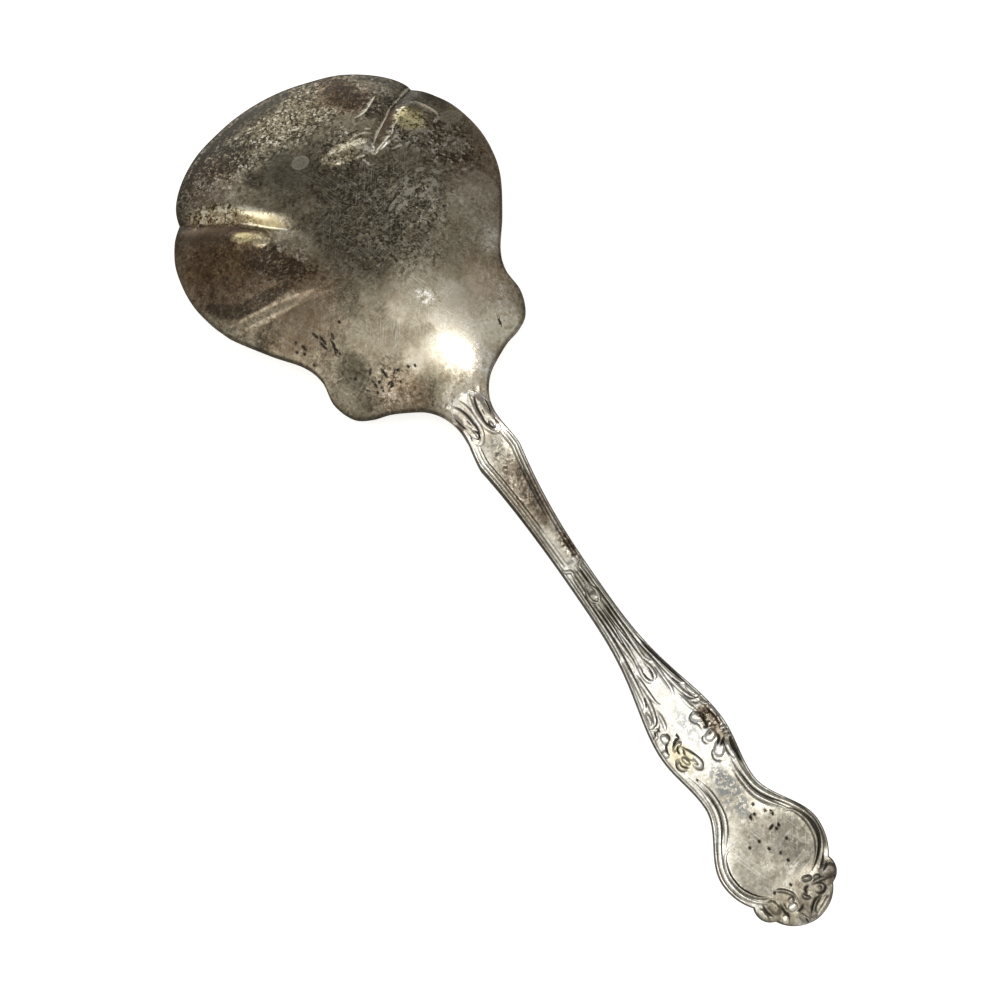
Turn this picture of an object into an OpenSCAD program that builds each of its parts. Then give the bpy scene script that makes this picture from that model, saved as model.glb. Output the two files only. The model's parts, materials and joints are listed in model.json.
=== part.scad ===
// Waffle server: a drawn, fluted bowl and a die-struck handle, silver-soldered in a half lap at the neck.
// It lies face down with its back up. +X runs from the tip of the bowl to the end of the handle.
// In the functions below x = 0 is the middle of the bowl and z = 0 is the flat on its back.

/* [Bowl] */
// Reach of the round front lobe from the middle of the bowl
front_r = 46.3; // [43:0.1:56]
// Width across the two side lobes
lobe_w = 82.4; // [70:0.2:99]
// Distance of the widest part of the side lobes ahead of the middle
lobe_ahead = 7.8; // [5:0.2:12]
// Width across the waist behind the side lobes
waist_w = 51.2; // [44:0.2:62]
// Distance of the waist behind the middle of the bowl
waist_x = 29.5; // [24:0.5:33]
// Width across the two ears beside the heel
ear_w = 52.2; // [46:0.2:63]
// Distance of the ears behind the middle of the bowl
ear_x = 35; // [34:0.5:40]
// Depth from the flat middle to the rim of the front lobe
bowl_depth = 9.5; // [6:0.5:12]
// Radius of the flat middle
flat_r = 12; // [8:0.5:15]
// Thickness of the sheet in the middle
sheet_t = 1.4; // [1:0.02:1.8]
// Thickness of the sheet at the rim
rim_t = 1; // [0.8:0.05:1.4]

/* [Flutes] */
// Angle of the notch between the front and a side lobe, from the handle's direction
notch_angle = 128; // [122:0.5:134]
// Reach of the rim at the notch
notch_r = 42.5; // [40:0.1:46]
// Depth of the crease that runs inward from the notch
crease_d = 1.6; // [0.4:0.1:2.4]
// Length of the crease
crease_l = 26; // [16:0.5:34]
// Width of the crease's slope on the front lobe
crease_front_w = 7; // [5:0.5:12]
// Width of the crease's slope on the side lobe
crease_side_w = 6; // [3:0.5:9]
// Height of the step that ends each side lobe
step_h = 0.8; // [0.2:0.1:1.4]
// Distance of that step behind the middle of the bowl
step_x = 7.5; // [0:0.5:10]

/* [Neck] */
// Distance from the middle of the bowl to the tip of the handle's lap
lap_x = 49; // [47:0.5:54]
// Length of the half lap
lap_l = 11; // [9:0.1:15]
// Rise of the heel above the dome of the bowl
heel_rise = 2.5; // [1:0.1:4]
// Thickness of the solder film in the lap
solder_t = 0.15; // [0.1:0.01:0.25]
// Width of the neck where it is narrowest
neck_w = 9.2; // [7.6:0.02:11.2]
// Distance of the narrowest place from the tip of the lap
neck_x = 8.5; // [7:0.1:10]
// Radius of the hollow curve from the neck to the ears
heel_r = 12; // [10:0.5:16]
// Thickness of the neck at the end of the lap
neck_t = 4.2; // [3.5:0.1:5.2]

/* [Handle] */
// Length of the handle from the tip of the lap to its end
handle_l = 139.5; // [116:0.1:168]
// Width of the swell above the neck
swell_w = 11; // [9:0.1:13.2]
// Width of the stem where it is narrowest
stem_w = 6.1; // [5:0.1:7.4]
// Width at the two shoulder blossoms
shoulder_w = 16.4; // [13.6:0.1:20]
// Width of the throat below the terminal
throat_w = 12.8; // [10.6:0.1:15.4]
// Width of the oval terminal
terminal_w = 25.2; // [21:0.1:30.4]
// Radius of the round petal at each side of the end
petal_r = 3.5; // [2.8:0.1:4.2]
// Thickness of the stem
stem_t = 3.3; // [2.7:0.1:4]
// Thickness of the terminal
terminal_t = 2.3; // [1.9:0.1:2.8]
// Drop of the handle's crest below the back of the bowl
crest_drop = 17; // [14:0.2:20]

/* [Struck relief] */
// Height of the two rails along each edge of the handle
rail_h = 0.3; // [0.1:0.05:0.45]
// Distance from the edge to the outer rail
rail_in = 0.8; // [0.6:0.1:1]
// Distance between the two rails
rail_gap = 1; // [0.8:0.1:1.2]
// Depth of the bare panels
panel_d = 0.35; // [0.1:0.05:0.5]
// Height of the bosses under the blossoms
boss_h = 0.7; // [0.3:0.1:1]
// Radius of those bosses
boss_r = 3.2; // [2.4:0.1:3.8]

/* [Hidden] */
silver = [0.72, 0.70, 0.66];
tarnished = [0.46, 0.43, 0.39];
solder_grey = [0.62, 0.61, 0.58];

// Places along the handle, as shares of its length from the tip of the lap
lap_end = lap_x + lap_l;
narrow_x = lap_x + neck_x;
swell_x = lap_x + 0.12 * handle_l;
crest_x = lap_x + 0.29 * handle_l;
panel_end_x = lap_x + 0.333 * handle_l;
stem_x = lap_x + 0.366 * handle_l;
shoulder_x = lap_x + 0.674 * handle_l;
throat_x = lap_x + 0.772 * handle_l;
terminal_x = lap_x + 0.881 * handle_l;
petal_x = lap_x + 0.945 * handle_l;
handle_end = lap_x + handle_l;

function mix(a, b, f) = a + (b - a) * f;
function smooth(u) = let (c = min(1, max(0, u))) c * c * (3 - 2 * c);

// One smooth swing from 0 to 1; a bias under 1 moves it forward and one over 1 moves it back
function swing(x, from, to, bias) = (1 - cos(180 * pow((x - from) / (to - from), bias))) / 2;

// Half width of an oval, zero past its ends
function oval_half(x, mid, half_l, half_w) = half_w * sqrt(max(0, 1 - pow((x - mid) / half_l, 2)));

// Cubic from (x0, z0) with slope m0 to (x1, z1) with slope m1
function cubic(x, x0, z0, m0, x1, z1, m1) =
    let (l = x1 - x0, u = (x - x0) / l)
    z0 * (1 + 2 * u) * pow(1 - u, 2) + m0 * l * u * pow(1 - u, 2)
    + z1 * u * u * (3 - 2 * u) - m1 * l * u * u * (1 - u);

// Smooth curve through a list of points, with steps points on each span
function curve(p, steps) = [
    for (i = [0 : len(p) - 2], k = [0 : steps - 1])
        let (a = p[max(0, i - 1)],
            b = p[i],
            c = p[i + 1],
            d = p[min(len(p) - 1, i + 2)],
            t = k / steps)
        0.5 * (2 * b + (c - a) * t + (2 * a - 5 * b + 4 * c - d) * t * t
            + (3 * b - a - 3 * c + d) * t * t * t)
];
function run(a, b, n) = [for (i = [0 : n - 1]) mix(a, b, i / n)];

// Outline of the bowl, from the tip round the +y side to the end of its tongue

notch = notch_r * [cos(notch_angle), sin(notch_angle)];
lobe = [-lobe_ahead, lobe_w / 2];
waist = [waist_x, waist_w / 2];
ear = [ear_x, ear_w / 2];

// Half width of the neck, with the hollow curve that leads to the ears
function neck_half(x) =
    let (d = min(heel_r, max(0, narrow_x - x)))
    neck_w / 2 + heel_r - sqrt(heel_r * heel_r - d * d);

// The front lobe is round and draws in over a few degrees at the notch
notch_blend = 6;
front_steps = 20;
function front_reach(a) = front_r - (front_r - notch_r) * exp((notch_angle - a) / notch_blend);
front_arc = [
    for (i = [0 : front_steps - 1])
        let (a = mix(notch_angle, 180, pow(1 - i / front_steps, 1.6)))
        front_reach(a) * [cos(a), sin(a)]
];

// Corner where the ear's end runs into the hollow curve of the neck
heel_corner = lap_x - 2.2;
function between(p, q, fx, fy) = [mix(p[0], q[0], fx), mix(p[1], q[1], fy)];
rim_points = [
    notch,
    between(notch, lobe, 0.24, 0.52),
    between(notch, lobe, 0.54, 0.86),
    lobe,
    between(lobe, waist, 0.4, 0.25),
    between(lobe, waist, 0.66, 0.6),
    between(lobe, waist, 0.86, 0.92),
    waist,
    ear,
    [mix(ear_x, heel_corner, 0.42), ear[1] - 2],
    [mix(ear_x, heel_corner, 0.64), ear[1] - 5.6],
    [mix(ear_x, heel_corner, 0.78), ear[1] - 10],
    [heel_corner, neck_half(heel_corner)],
    [lap_x - 1, neck_half(lap_x - 1)]
];
tongue_xs = concat(run(lap_x - 1, lap_end, 6), [lap_end]);
half_rim = concat(front_arc, curve(rim_points, 3), [for (x = tongue_xs) [x, neck_half(x)]]);
rim = concat(
    half_rim,
    [[lap_end, 0]],
    [for (i = [len(half_rim) - 1 : -1 : 1]) [half_rim[i][0], -half_rim[i][1]]]
);

// Heights of the bowl's back: a dome round the flat middle, raised at the heel

heel_from = 28;
heel_run = 16;
heel_half = 30;
function reach_share(r) = max(0, r - flat_r) / (front_r - flat_r);
function depth_at(x, y) =
    bowl_depth - heel_rise * smooth((x - heel_from) / heel_run) * (1 - smooth(abs(y) / heel_half));
function dome(x, y) = -depth_at(x, y) * pow(reach_share(norm([x, y])), 2);

// The lap is flat and carries on the slope of the heel
lap_slope = -2 * (bowl_depth - heel_rise) * reach_share(lap_x) / (front_r - flat_r);
function lap_z(x) = dome(lap_x, 0) + lap_slope * (x - lap_x);

// Each crease is a valley, sharp at its bottom, that points to the middle of the bowl and runs out
crease_dir = -notch / norm(notch);
rim_share = 0.7;
full_depth_at = 8;
run_out_from = 0.5 * crease_l;
function crease(x, y) =
    let (q = [x, abs(y)] - notch,
        along = q * crease_dir,
        side = crease_dir[0] * q[1] - crease_dir[1] * q[0],
        slope_w = side < 0 ? crease_front_w : crease_side_w,
        deep = mix(rim_share, 1, smooth(along / full_depth_at)),
        left = 1 - smooth((along - run_out_from) / (crease_l - run_out_from)))
    -crease_d * deep * left * pow(max(0, 1 - abs(side) / slope_w), 1.6);

// Ahead of a short step the sides of the bowl stand a little proud of the waist
step_run = 3;
step_lean = 0.12;
proud_from = 12;
proud_run = 14;
function lobe_step(x, y) =
    let (ahead = step_x - step_lean * (abs(y) - 27) - x)
    step_h * smooth(ahead / step_run + 0.5) * smooth((abs(y) - proud_from) / proud_run);

// The bowl's back is flat under the handle's lap and runs out into the dome around it
lap_blend = 3;
function lap_share(x, y) =
    smooth((x - lap_x + 1) / lap_blend + 1) * (1 - smooth((abs(y) - 0.54 * neck_w) / lap_blend));
function back_z(x, y) = mix(dome(x, y) + crease(x, y) + lobe_step(x, y), lap_z(x), lap_share(x, y));

// The sheet thins towards the rim and keeps its thickness in the tongue
tongue_run = 4;
function sheet_at(x, y) =
    let (u = reach_share(norm([x, y])),
        slope = 2 * bowl_depth * u / (front_r - flat_r),
        t = mix(sheet_t, rim_t, min(1, u)) * sqrt(1 + slope * slope))
    mix(t, sheet_t, smooth((x - lap_x + 1) / tongue_run + 1));

// Rings of points from the flat out to the rim on the back, and in again on the face
edge_round = 0.35;
shares = [0, 0.06, 0.16, 0.3, 0.43, 0.56, 0.68, 0.78, 0.86, 0.93, 1];
function places_at(share) = [
    for (p = rim)
        p / norm(p) * mix(0.96 * flat_r, norm(p) - edge_round, share)
];
function back_ring(share) = [for (q = places_at(share)) [q[0], q[1], back_z(q[0], q[1])]];
function face_ring(share) = [
    for (q = places_at(share))
        [q[0], q[1], back_z(q[0], q[1]) - sheet_at(q[0], q[1])]
];
edge_ring = [for (p = rim) [p[0], p[1], back_z(p[0], p[1]) - sheet_at(p[0], p[1]) / 2]];
bowl_rings = concat(
    [for (share = shares) back_ring(share)],
    [edge_ring],
    [for (i = [len(shares) - 1 : -1 : 0]) face_ring(shares[i])]
);

// Outline of the handle

// The end has a round petal on each side of a blunt point
petal_out = 0.264 * terminal_w;
point_half = 0.33 * terminal_w;
function end_half(x) = max(
    abs(x - petal_x) < petal_r ? petal_out + oval_half(x, petal_x, petal_r, petal_r) : 0,
    oval_half(x, petal_x, handle_end - petal_x, point_half)
);
function swell_half(x) =
    x < narrow_x ? neck_half(x) :
    x < swell_x ? mix(neck_w, swell_w, swing(x, narrow_x, swell_x, 1)) / 2 :
    x < stem_x ? mix(swell_w, stem_w, swing(x, swell_x, stem_x, 0.5)) / 2 :
    x < shoulder_x ? mix(stem_w, shoulder_w, swing(x, stem_x, shoulder_x, 1.7)) / 2 :
    x < throat_x ? mix(shoulder_w, throat_w, swing(x, shoulder_x, throat_x, 1)) / 2 :
    x < terminal_x ? mix(throat_w, terminal_w, swing(x, throat_x, terminal_x, 1)) / 2 :
    max(oval_half(x, terminal_x, 1.36 * (petal_x - terminal_x), terminal_w / 2), end_half(x));

// The tip of the lap is rounded, and both ends are blunt
tip_l = 5;
blunt = 1.2;
function handle_half(x) = max(blunt, x < lap_x + tip_l
    ? oval_half(x, lap_x + tip_l, tip_l, neck_half(lap_x + tip_l))
    : swell_half(x)
);

// Heights of the handle's back and face

tip_t = 0.4;
lap_top = lap_z(lap_end) - sheet_t + neck_t;
neck_slope = -0.28;
crest_slope = -0.04;
shoulder_z = 0.3 - crest_drop;
end_z = -1 - crest_drop;
end_slope = -0.06;
function handle_z(x) =
    x < lap_end ? cubic(x, lap_x, lap_z(lap_x) + tip_t, neck_slope, lap_end, lap_top, neck_slope) :
    x < crest_x ? cubic(x, lap_end, lap_top, neck_slope, crest_x, -crest_drop, crest_slope) :
    x < shoulder_x ? cubic(x, crest_x, -crest_drop, crest_slope, shoulder_x, shoulder_z, 0) :
    cubic(x, shoulder_x, shoulder_z, 0, handle_end, end_z, end_slope);
function handle_t(x) = x < stem_x
    ? mix(neck_t, stem_t, smooth((x - lap_end) / (crest_x - lap_end)))
    : mix(stem_t, terminal_t, smooth((x - stem_x) / (terminal_x - stem_x)));

// Over the lap the handle's face is flat, one film of solder above the bowl's tongue
solder_rise = solder_t * sqrt(1 + lap_slope * lap_slope);
lap_stop = lap_end + solder_t;
function face_z(x) = x <= lap_stop ? lap_z(x) + solder_rise : handle_z(x) - handle_t(x);

// Struck relief, the same on back and face: two rails along each edge, bare panels, and blossom bosses

rail_half = 0.35;
rails_run = 4;
panel_in = rail_in + rail_gap + rail_half;
panel_wall = 0.5;
bosses = [[shoulder_x, 0.3 * shoulder_w], [petal_x + 1, 0.18 * terminal_w]];
function rail(e, at) = rail_h * exp(-pow((e - at) / rail_half, 2));
function with_rails(x) =
    smooth((x - lap_stop - 1) / rails_run) * (1 - smooth((x - petal_x) / rails_run + 1));
function in_panel(x) =
    smooth((x - lap_stop - 1) / rails_run) * (1 - smooth(x - panel_end_x))
    + smooth((x - throat_x) / rails_run + 1) * (1 - smooth((x - petal_x) / rails_run + 1));
function boss(x, y) = max([
    for (b = bosses)
        boss_h * max(0, 1 - pow(norm([x - b[0], abs(y) - b[1]]) / boss_r, 2))
]);
function relief(x, y, e) =
    with_rails(x) * (rail(e, rail_in) + rail(e, rail_in + rail_gap))
    - panel_d * in_panel(x) * smooth((e - panel_in) / panel_wall)
    + boss(x, y);

// Section of the handle: up the +y edge, across the back, down the -y edge and across the face
edge_places = [0.25, rail_in, rail_in + rail_gap / 2, rail_in + rail_gap, panel_in, panel_in + panel_wall];
edge_fit = 0.85;
edge_top = 0.3;
edge_low = 0.65;
function across(w, inner) =
    let (fit = min(1, edge_fit * w / (panel_in + panel_wall)),
        side = [for (e = edge_places) w - e * fit],
        last = side[len(side) - 1])
    concat(side, last * inner, [for (i = [len(side) - 1 : -1 : 0]) -side[i]]);
function handle_ring(x) =
    let (w = handle_half(x),
        top = handle_z(x),
        low = face_z(x),
        upper = mix(top, low, edge_top),
        lower = mix(top, low, edge_low))
    concat(
        [[x, w, lower], [x, w, upper]],
        [for (y = across(w, [0.66, 0.33, 0, -0.33, -0.66])) [x, y, top + relief(x, y, w - abs(y))]],
        [[x, -w, upper], [x, -w, lower]],
        [for (y = across(w, [0.4, -0.4])) [x, -y, low - relief(x, y, w - abs(y))]]
    );
shoulder_run = 0.3;
lap_xs = concat(run(lap_x, lap_x + tip_l, 6), run(lap_x + tip_l, lap_stop, 4), [lap_stop]);
free_xs = concat(
    run(lap_stop + shoulder_run, stem_x, 24),
    run(stem_x, shoulder_x - boss_r, 15),
    run(shoulder_x - boss_r, throat_x, 13),
    run(throat_x, petal_x - petal_r, 12),
    run(petal_x - petal_r, petal_x + petal_r, 10),
    run(petal_x + petal_r, handle_end, 6),
    [handle_end]
);
free_rings = [for (x = free_xs) handle_ring(x)];
handle_rings = concat([for (x = lap_xs) handle_ring(x)], free_rings);

// Skin of triangles over rings that all have the same number of points, with a fan at both ends
function middle(ring) = [for (k = [0 : 2]) (min([for (p = ring) p[k]]) + max([for (p = ring) p[k]])) / 2];
function skin_points(rings) = concat(
    [for (ring = rings) each ring],
    [middle(rings[0]), middle(rings[len(rings) - 1])]
);
function skin(rings) =
    let (n = len(rings[0]), m = len(rings))
    [
        for (i = [0 : m - 2], j = [0 : n - 1])
            let (a = i * n + j, b = i * n + (j + 1) % n)
            each [[a, b + n, b], [a, a + n, b + n]],
        for (j = [0 : n - 1]) [j, (j + 1) % n, m * n],
        for (j = [0 : n - 1]) [(m - 1) * n + (j + 1) % n, (m - 1) * n + j, m * n + 1]
    ];

// Rest: the server lies on the bowl's rim and on the lowest place of the handle's face

bowl_points = skin_points(bowl_rings);
handle_points = skin_points(handle_rings);
handle_low = [for (ring = free_rings) [ring[0][0], min([for (p = ring) p[2]])]];
rest_slope = max([
    for (b = face_ring(1))
        min([for (h = handle_low) (h[1] - b[2]) / (h[0] - b[0])])
]);
rest_tilt = atan(rest_slope);
all_points = concat(bowl_points, handle_points);
tilted_x = [for (p = all_points) p[0] * cos(rest_tilt) + p[2] * sin(rest_tilt)];
tilted_z = [for (p = all_points) p[2] * cos(rest_tilt) - p[0] * sin(rest_tilt)];

module at_rest() {
    translate([-(min(tilted_x) + max(tilted_x)) / 2, 0, -min(tilted_z)])
        rotate([0, rest_tilt, 0])
            children();
}

module bowl() {
    color(tarnished)
        at_rest()
            polyhedron(bowl_points, skin(bowl_rings));
}

module handle() {
    color(silver)
        at_rest()
            polyhedron(handle_points, skin(handle_rings));
}

// The film fills the lap, a little short of its edges
film_inset = 0.4;
lap_angle = atan(lap_slope);
film_xs = concat(run(lap_x + film_inset, lap_end, 8), [lap_end]);
film_side = [for (x = film_xs) [(x - lap_x) / cos(lap_angle), handle_half(x) - film_inset]];
film_outline = concat(
    film_side,
    [for (i = [len(film_side) - 1 : -1 : 0]) [film_side[i][0], -film_side[i][1]]]
);

module solder_film() {
    color(solder_grey)
        at_rest()
            translate([lap_x, 0, lap_z(lap_x)])
                rotate([0, -lap_angle, 0])
                    linear_extrude(solder_t)
                        polygon(film_outline);
}

bowl();
handle();
solder_film();
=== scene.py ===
"""Looks of the waffle server: a fluted, tarnished bowl and a die-struck handle with scrolls and blossoms.

Shapes are worked out in millimetres in the design's own frame, where x = 0 is the middle of the bowl,
z = 0 is the flat on its back and x runs to the end of the handle. place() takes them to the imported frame.
"""
import json
import math

import bpy
import numpy as np
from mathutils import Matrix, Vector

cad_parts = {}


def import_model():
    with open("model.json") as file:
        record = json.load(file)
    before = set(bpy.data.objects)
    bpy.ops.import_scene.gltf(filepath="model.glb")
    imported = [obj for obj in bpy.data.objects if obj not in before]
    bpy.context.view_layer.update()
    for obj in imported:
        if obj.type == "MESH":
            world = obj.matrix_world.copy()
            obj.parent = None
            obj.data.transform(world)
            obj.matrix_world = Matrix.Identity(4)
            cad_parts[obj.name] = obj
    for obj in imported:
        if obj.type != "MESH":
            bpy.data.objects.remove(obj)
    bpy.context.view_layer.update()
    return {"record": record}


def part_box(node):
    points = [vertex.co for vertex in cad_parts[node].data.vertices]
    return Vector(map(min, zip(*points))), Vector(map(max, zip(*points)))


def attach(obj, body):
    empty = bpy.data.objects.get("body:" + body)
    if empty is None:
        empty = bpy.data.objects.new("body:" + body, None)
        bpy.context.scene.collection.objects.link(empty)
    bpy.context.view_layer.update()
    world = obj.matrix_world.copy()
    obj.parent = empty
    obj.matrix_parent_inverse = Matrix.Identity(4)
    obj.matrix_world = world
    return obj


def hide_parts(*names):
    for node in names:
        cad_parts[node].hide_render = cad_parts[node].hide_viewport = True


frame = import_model()

MM = 0.001

# Sizes of the bowl
FRONT_R = 46.3
LOBE_W = 82.4
LOBE_AHEAD = 7.8
WAIST_W = 51.2
WAIST_X = 29.5
EAR_W = 52.2
EAR_X = 35
BOWL_DEPTH = 9.5
FLAT_R = 12
SHEET_T = 1.4
RIM_T = 1
NOTCH_ANGLE = 128
NOTCH_R = 42.5
STEP_H = 0.8

# Sizes of the neck
LAP_X = 49
LAP_L = 11
HEEL_RISE = 2.5
SOLDER_T = 0.15
NECK_W = 9.2
NECK_X = 8.5
HEEL_R = 12
NECK_T = 4.2

# Sizes of the handle
HANDLE_L = 139.5
SWELL_W = 11
STEM_W = 6.1
SHOULDER_W = 16.4
THROAT_W = 12.8
TERMINAL_W = 25.2
PETAL_R = 3.5
STEM_T = 3.3
TERMINAL_T = 2.3
CREST_DROP = 17

# Places along the handle
LAP_END = LAP_X + LAP_L
NARROW_X = LAP_X + NECK_X
SWELL_X = LAP_X + 0.12 * HANDLE_L
CREST_X = LAP_X + 0.29 * HANDLE_L
STEM_X = LAP_X + 0.366 * HANDLE_L
SHOULDER_X = LAP_X + 0.674 * HANDLE_L
THROAT_X = LAP_X + 0.772 * HANDLE_L
TERMINAL_X = LAP_X + 0.881 * HANDLE_L
PETAL_X = LAP_X + 0.945 * HANDLE_L
HANDLE_END = LAP_X + HANDLE_L


def smooth(u):
    c = np.clip(u, 0.0, 1.0)
    return c * c * (3 - 2 * c)


def mix(a, b, f):
    return a + (b - a) * f


def swing(x, start, stop, bias=1.0):
    """One smooth swing from 0 to 1; a bias under 1 moves it forward and one over 1 moves it back."""
    u = np.clip((x - start) / (stop - start), 0.0, 1.0)
    return (1 - np.cos(np.pi * u**bias)) / 2


def oval_half(x, mid, half_l, half_w):
    """Half width of an oval, zero past its ends."""
    return half_w * np.sqrt(np.maximum(0.0, 1 - ((x - mid) / half_l) ** 2))


def cubic(x, x0, z0, m0, x1, z1, m1):
    """Cubic from (x0, z0) with slope m0 to (x1, z1) with slope m1."""
    run = x1 - x0
    u = (x - x0) / run
    start = (z0 * (1 + 2 * u) + m0 * run * u) * (1 - u) ** 2
    stop = (z1 * (3 - 2 * u) - m1 * run * (1 - u)) * u * u
    return start + stop


def curve(points, steps):
    """Smooth curve through a list of points, with steps points on each span."""
    p = np.array(points, float)
    last = len(p) - 1
    made = []
    for i in range(last):
        a, b, c, d = p[max(0, i - 1)], p[i], p[i + 1], p[min(last, i + 2)]
        for t in np.arange(steps) / steps:
            bent = (2 * a - 5 * b + 4 * c - d) * t**2 + (3 * b - a - 3 * c + d) * t**3
            made.append((2 * b + (c - a) * t + bent) / 2)
    return np.array(made + [p[last]])


def lengths(points):
    """Length along a line of points, from 0 at its start."""
    return np.concatenate([[0.0], np.cumsum(np.linalg.norm(np.diff(points, axis=0), axis=1))])


def resample(points, count):
    """The same line as count points at equal distances."""
    along = lengths(points)
    wanted = np.linspace(0, along[-1], count)
    return np.stack([np.interp(wanted, along, points[:, k]) for k in range(2)], axis=1)


LINE_STEPS = 8
RIDGE_SPACING = 0.4
RIDGE_TAPER = 0.3
RIDGE_END = 0.35
RIDGE_POWER = 0.75


def ridge(x, y, points, half, height=1.0, end=RIDGE_END, flat=1):
    """Height at x, y of a ridge along a smooth line; end is the share of its width at both ends.

    A flat of 1 gives a round back and a larger one gives a flatter top with steeper sides.
    """
    line = curve(points, LINE_STEPS)
    line = resample(line, max(LINE_STEPS, int(lengths(line)[-1] / (RIDGE_SPACING * half))))
    share = np.linspace(0, 1, len(line))
    grow = mix(end, 1, smooth(np.minimum(share, 1 - share) / RIDGE_TAPER))
    low, high = line.min(axis=0) - half, line.max(axis=0) + half
    near = (x > low[0]) & (x < high[0]) & (y > low[1]) & (y < high[1])
    px, py = x[near], y[near]
    best = np.zeros(len(px))
    for (cx, cy), g in zip(line, grow):
        gone = ((px - cx) ** 2 + (py - cy) ** 2) / (half * g) ** 2
        best = np.maximum(best, g * np.maximum(0.0, 1 - gone**flat) ** RIDGE_POWER)
    made = np.zeros(x.shape)
    made[near] = height * best
    return made


# Outline of the bowl

def neck_half(x):
    """Half width of the neck, with the hollow curve that leads to the ears."""
    d = np.clip(NARROW_X - x, 0, HEEL_R)
    return NECK_W / 2 + HEEL_R - np.sqrt(HEEL_R**2 - d * d)


def turned(angle, reach):
    """The place at an angle in degrees and a distance from the middle of the bowl."""
    return np.stack([reach * np.cos(np.radians(angle)), reach * np.sin(np.radians(angle))], axis=-1)


NOTCH = turned(NOTCH_ANGLE, NOTCH_R)
NOTCH_BLEND = 9
HEEL_CORNER = LAP_X - 2.2
TONGUE_X = LAP_X - 1
FRONT_POINTS = 160
SPAN_POINTS = 24
TONGUE_POINTS = 40
# Points between the named ones, as shares of the way in x and in y
NOTCH_TO_LOBE = [(0.25, 0.47), (0.545, 0.825)]
LOBE_TO_WAIST = [(0.2, 0.035), (0.41, 0.186), (0.67, 0.555), (0.865, 0.89)]
# Points behind the ear, as (share of the way in x, distance in from the ear)
EAR_TO_HEEL = [(0.42, 2), (0.64, 5.6), (0.78, 10)]


def between(p, q, fx, fy):
    return mix(p[0], q[0], fx), mix(p[1], q[1], fy)


def half_rim():
    """The outline from the tip round the +y side to the end of the tongue."""
    angle = np.linspace(180, NOTCH_ANGLE, FRONT_POINTS)
    front = turned(angle, FRONT_R - (FRONT_R - NOTCH_R) * np.exp((NOTCH_ANGLE - angle) / NOTCH_BLEND))
    lobe = (-LOBE_AHEAD, LOBE_W / 2)
    waist = (WAIST_X, WAIST_W / 2)
    ear = (EAR_X, EAR_W / 2)
    heel = (HEEL_CORNER, neck_half(HEEL_CORNER))
    points = [
        NOTCH,
        *[between(NOTCH, lobe, *shares) for shares in NOTCH_TO_LOBE],
        lobe,
        *[between(lobe, waist, *shares) for shares in LOBE_TO_WAIST],
        waist,
        ear,
        *[(mix(EAR_X, HEEL_CORNER, share), ear[1] - inward) for share, inward in EAR_TO_HEEL],
        heel,
        (TONGUE_X, neck_half(TONGUE_X)),
    ]
    x = np.linspace(TONGUE_X, LAP_END, TONGUE_POINTS)
    tongue = np.stack([x, neck_half(x)], axis=1)
    return np.concatenate([front[:-1], curve(points, SPAN_POINTS)[:-1], tongue])


HALF_RIM = half_rim()
RIM_ANGLES = np.arctan2(HALF_RIM[:, 1], HALF_RIM[:, 0])[::-1]
RIM_REACHES = np.hypot(HALF_RIM[:, 0], HALF_RIM[:, 1])[::-1]


def to_rim(x, y):
    """Distance to the rim along the ray from the middle of the bowl."""
    return np.interp(np.arctan2(np.abs(y), x), RIM_ANGLES, RIM_REACHES) - np.hypot(x, y)


# Heights of the bowl's back

HEEL_FROM = 8
HEEL_RUN = 40
HEEL_HALF = 30


def reach_share(r):
    """0 on the flat of the back, and 1 as far out as the front rim."""
    return np.maximum(0.0, r - FLAT_R) / (FRONT_R - FLAT_R)


def dome(x, y):
    """The plain dome, which falls less towards the heel."""
    heel = smooth((x - HEEL_FROM) / HEEL_RUN) * (1 - smooth(np.abs(y) / HEEL_HALF))
    return -(BOWL_DEPTH - HEEL_RISE * heel) * reach_share(np.hypot(x, y)) ** 2


LAP_SLOPE = -2 * (BOWL_DEPTH - HEEL_RISE) * reach_share(LAP_X) / (FRONT_R - FLAT_R)


def lap_z(x):
    """Height of the lap, which runs straight on from the dome."""
    return dome(LAP_X, 0) + LAP_SLOPE * (x - LAP_X)


# Creases, as (line, run-out, wall width, depth, band width, crest height)
CREASES = [
    ([(-27.6, 35.3), (-26.2, 33.5), (-22.4, 26.4), (-20.1, 22.8), (-18.2, 20.5), (-15.3, 17), (-12, 14.8)],
     3, 1.6, 0.85, 3.6, 0.2),
    ([(-27.6, -35.3), (-26.2, -33.5), (-22.6, -30.4), (-19.6, -26.4), (-15.7, -22), (-10.5, -17.3),
      (-6.2, -12.7), (-1.5, -8)],
     12, 4, 1.55, 5.6, 0.3),
]
CREASE_POINTS = 24
CREASE_RIM_SHARE = 0.7
CREASE_FULL_AT = 8
CREST_FALL = 4
WALL_POWER = 1.4
BAND_POWER = 1.7


def beside(x, y, line):
    """Length along a line to the place nearest each point, the distance to its left, and the full length."""
    least = np.full(x.shape, np.inf)
    along = np.zeros(x.shape)
    side = np.zeros(x.shape)
    gone = 0.0
    for (ax, ay), (bx, by) in zip(line[:-1], line[1:]):
        dx, dy = bx - ax, by - ay
        long = math.hypot(dx, dy)
        u = np.clip(((x - ax) * dx + (y - ay) * dy) / long**2, 0, 1)
        away = np.hypot(x - ax - u * dx, y - ay - u * dy)
        left = dx * (y - ay) - dy * (x - ax)
        nearer = away < least
        least = np.where(nearer, away, least)
        along = np.where(nearer, gone + u * long, along)
        side = np.where(nearer, np.sign(left) * away, side)
        gone += long
    return along, side, gone


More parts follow.
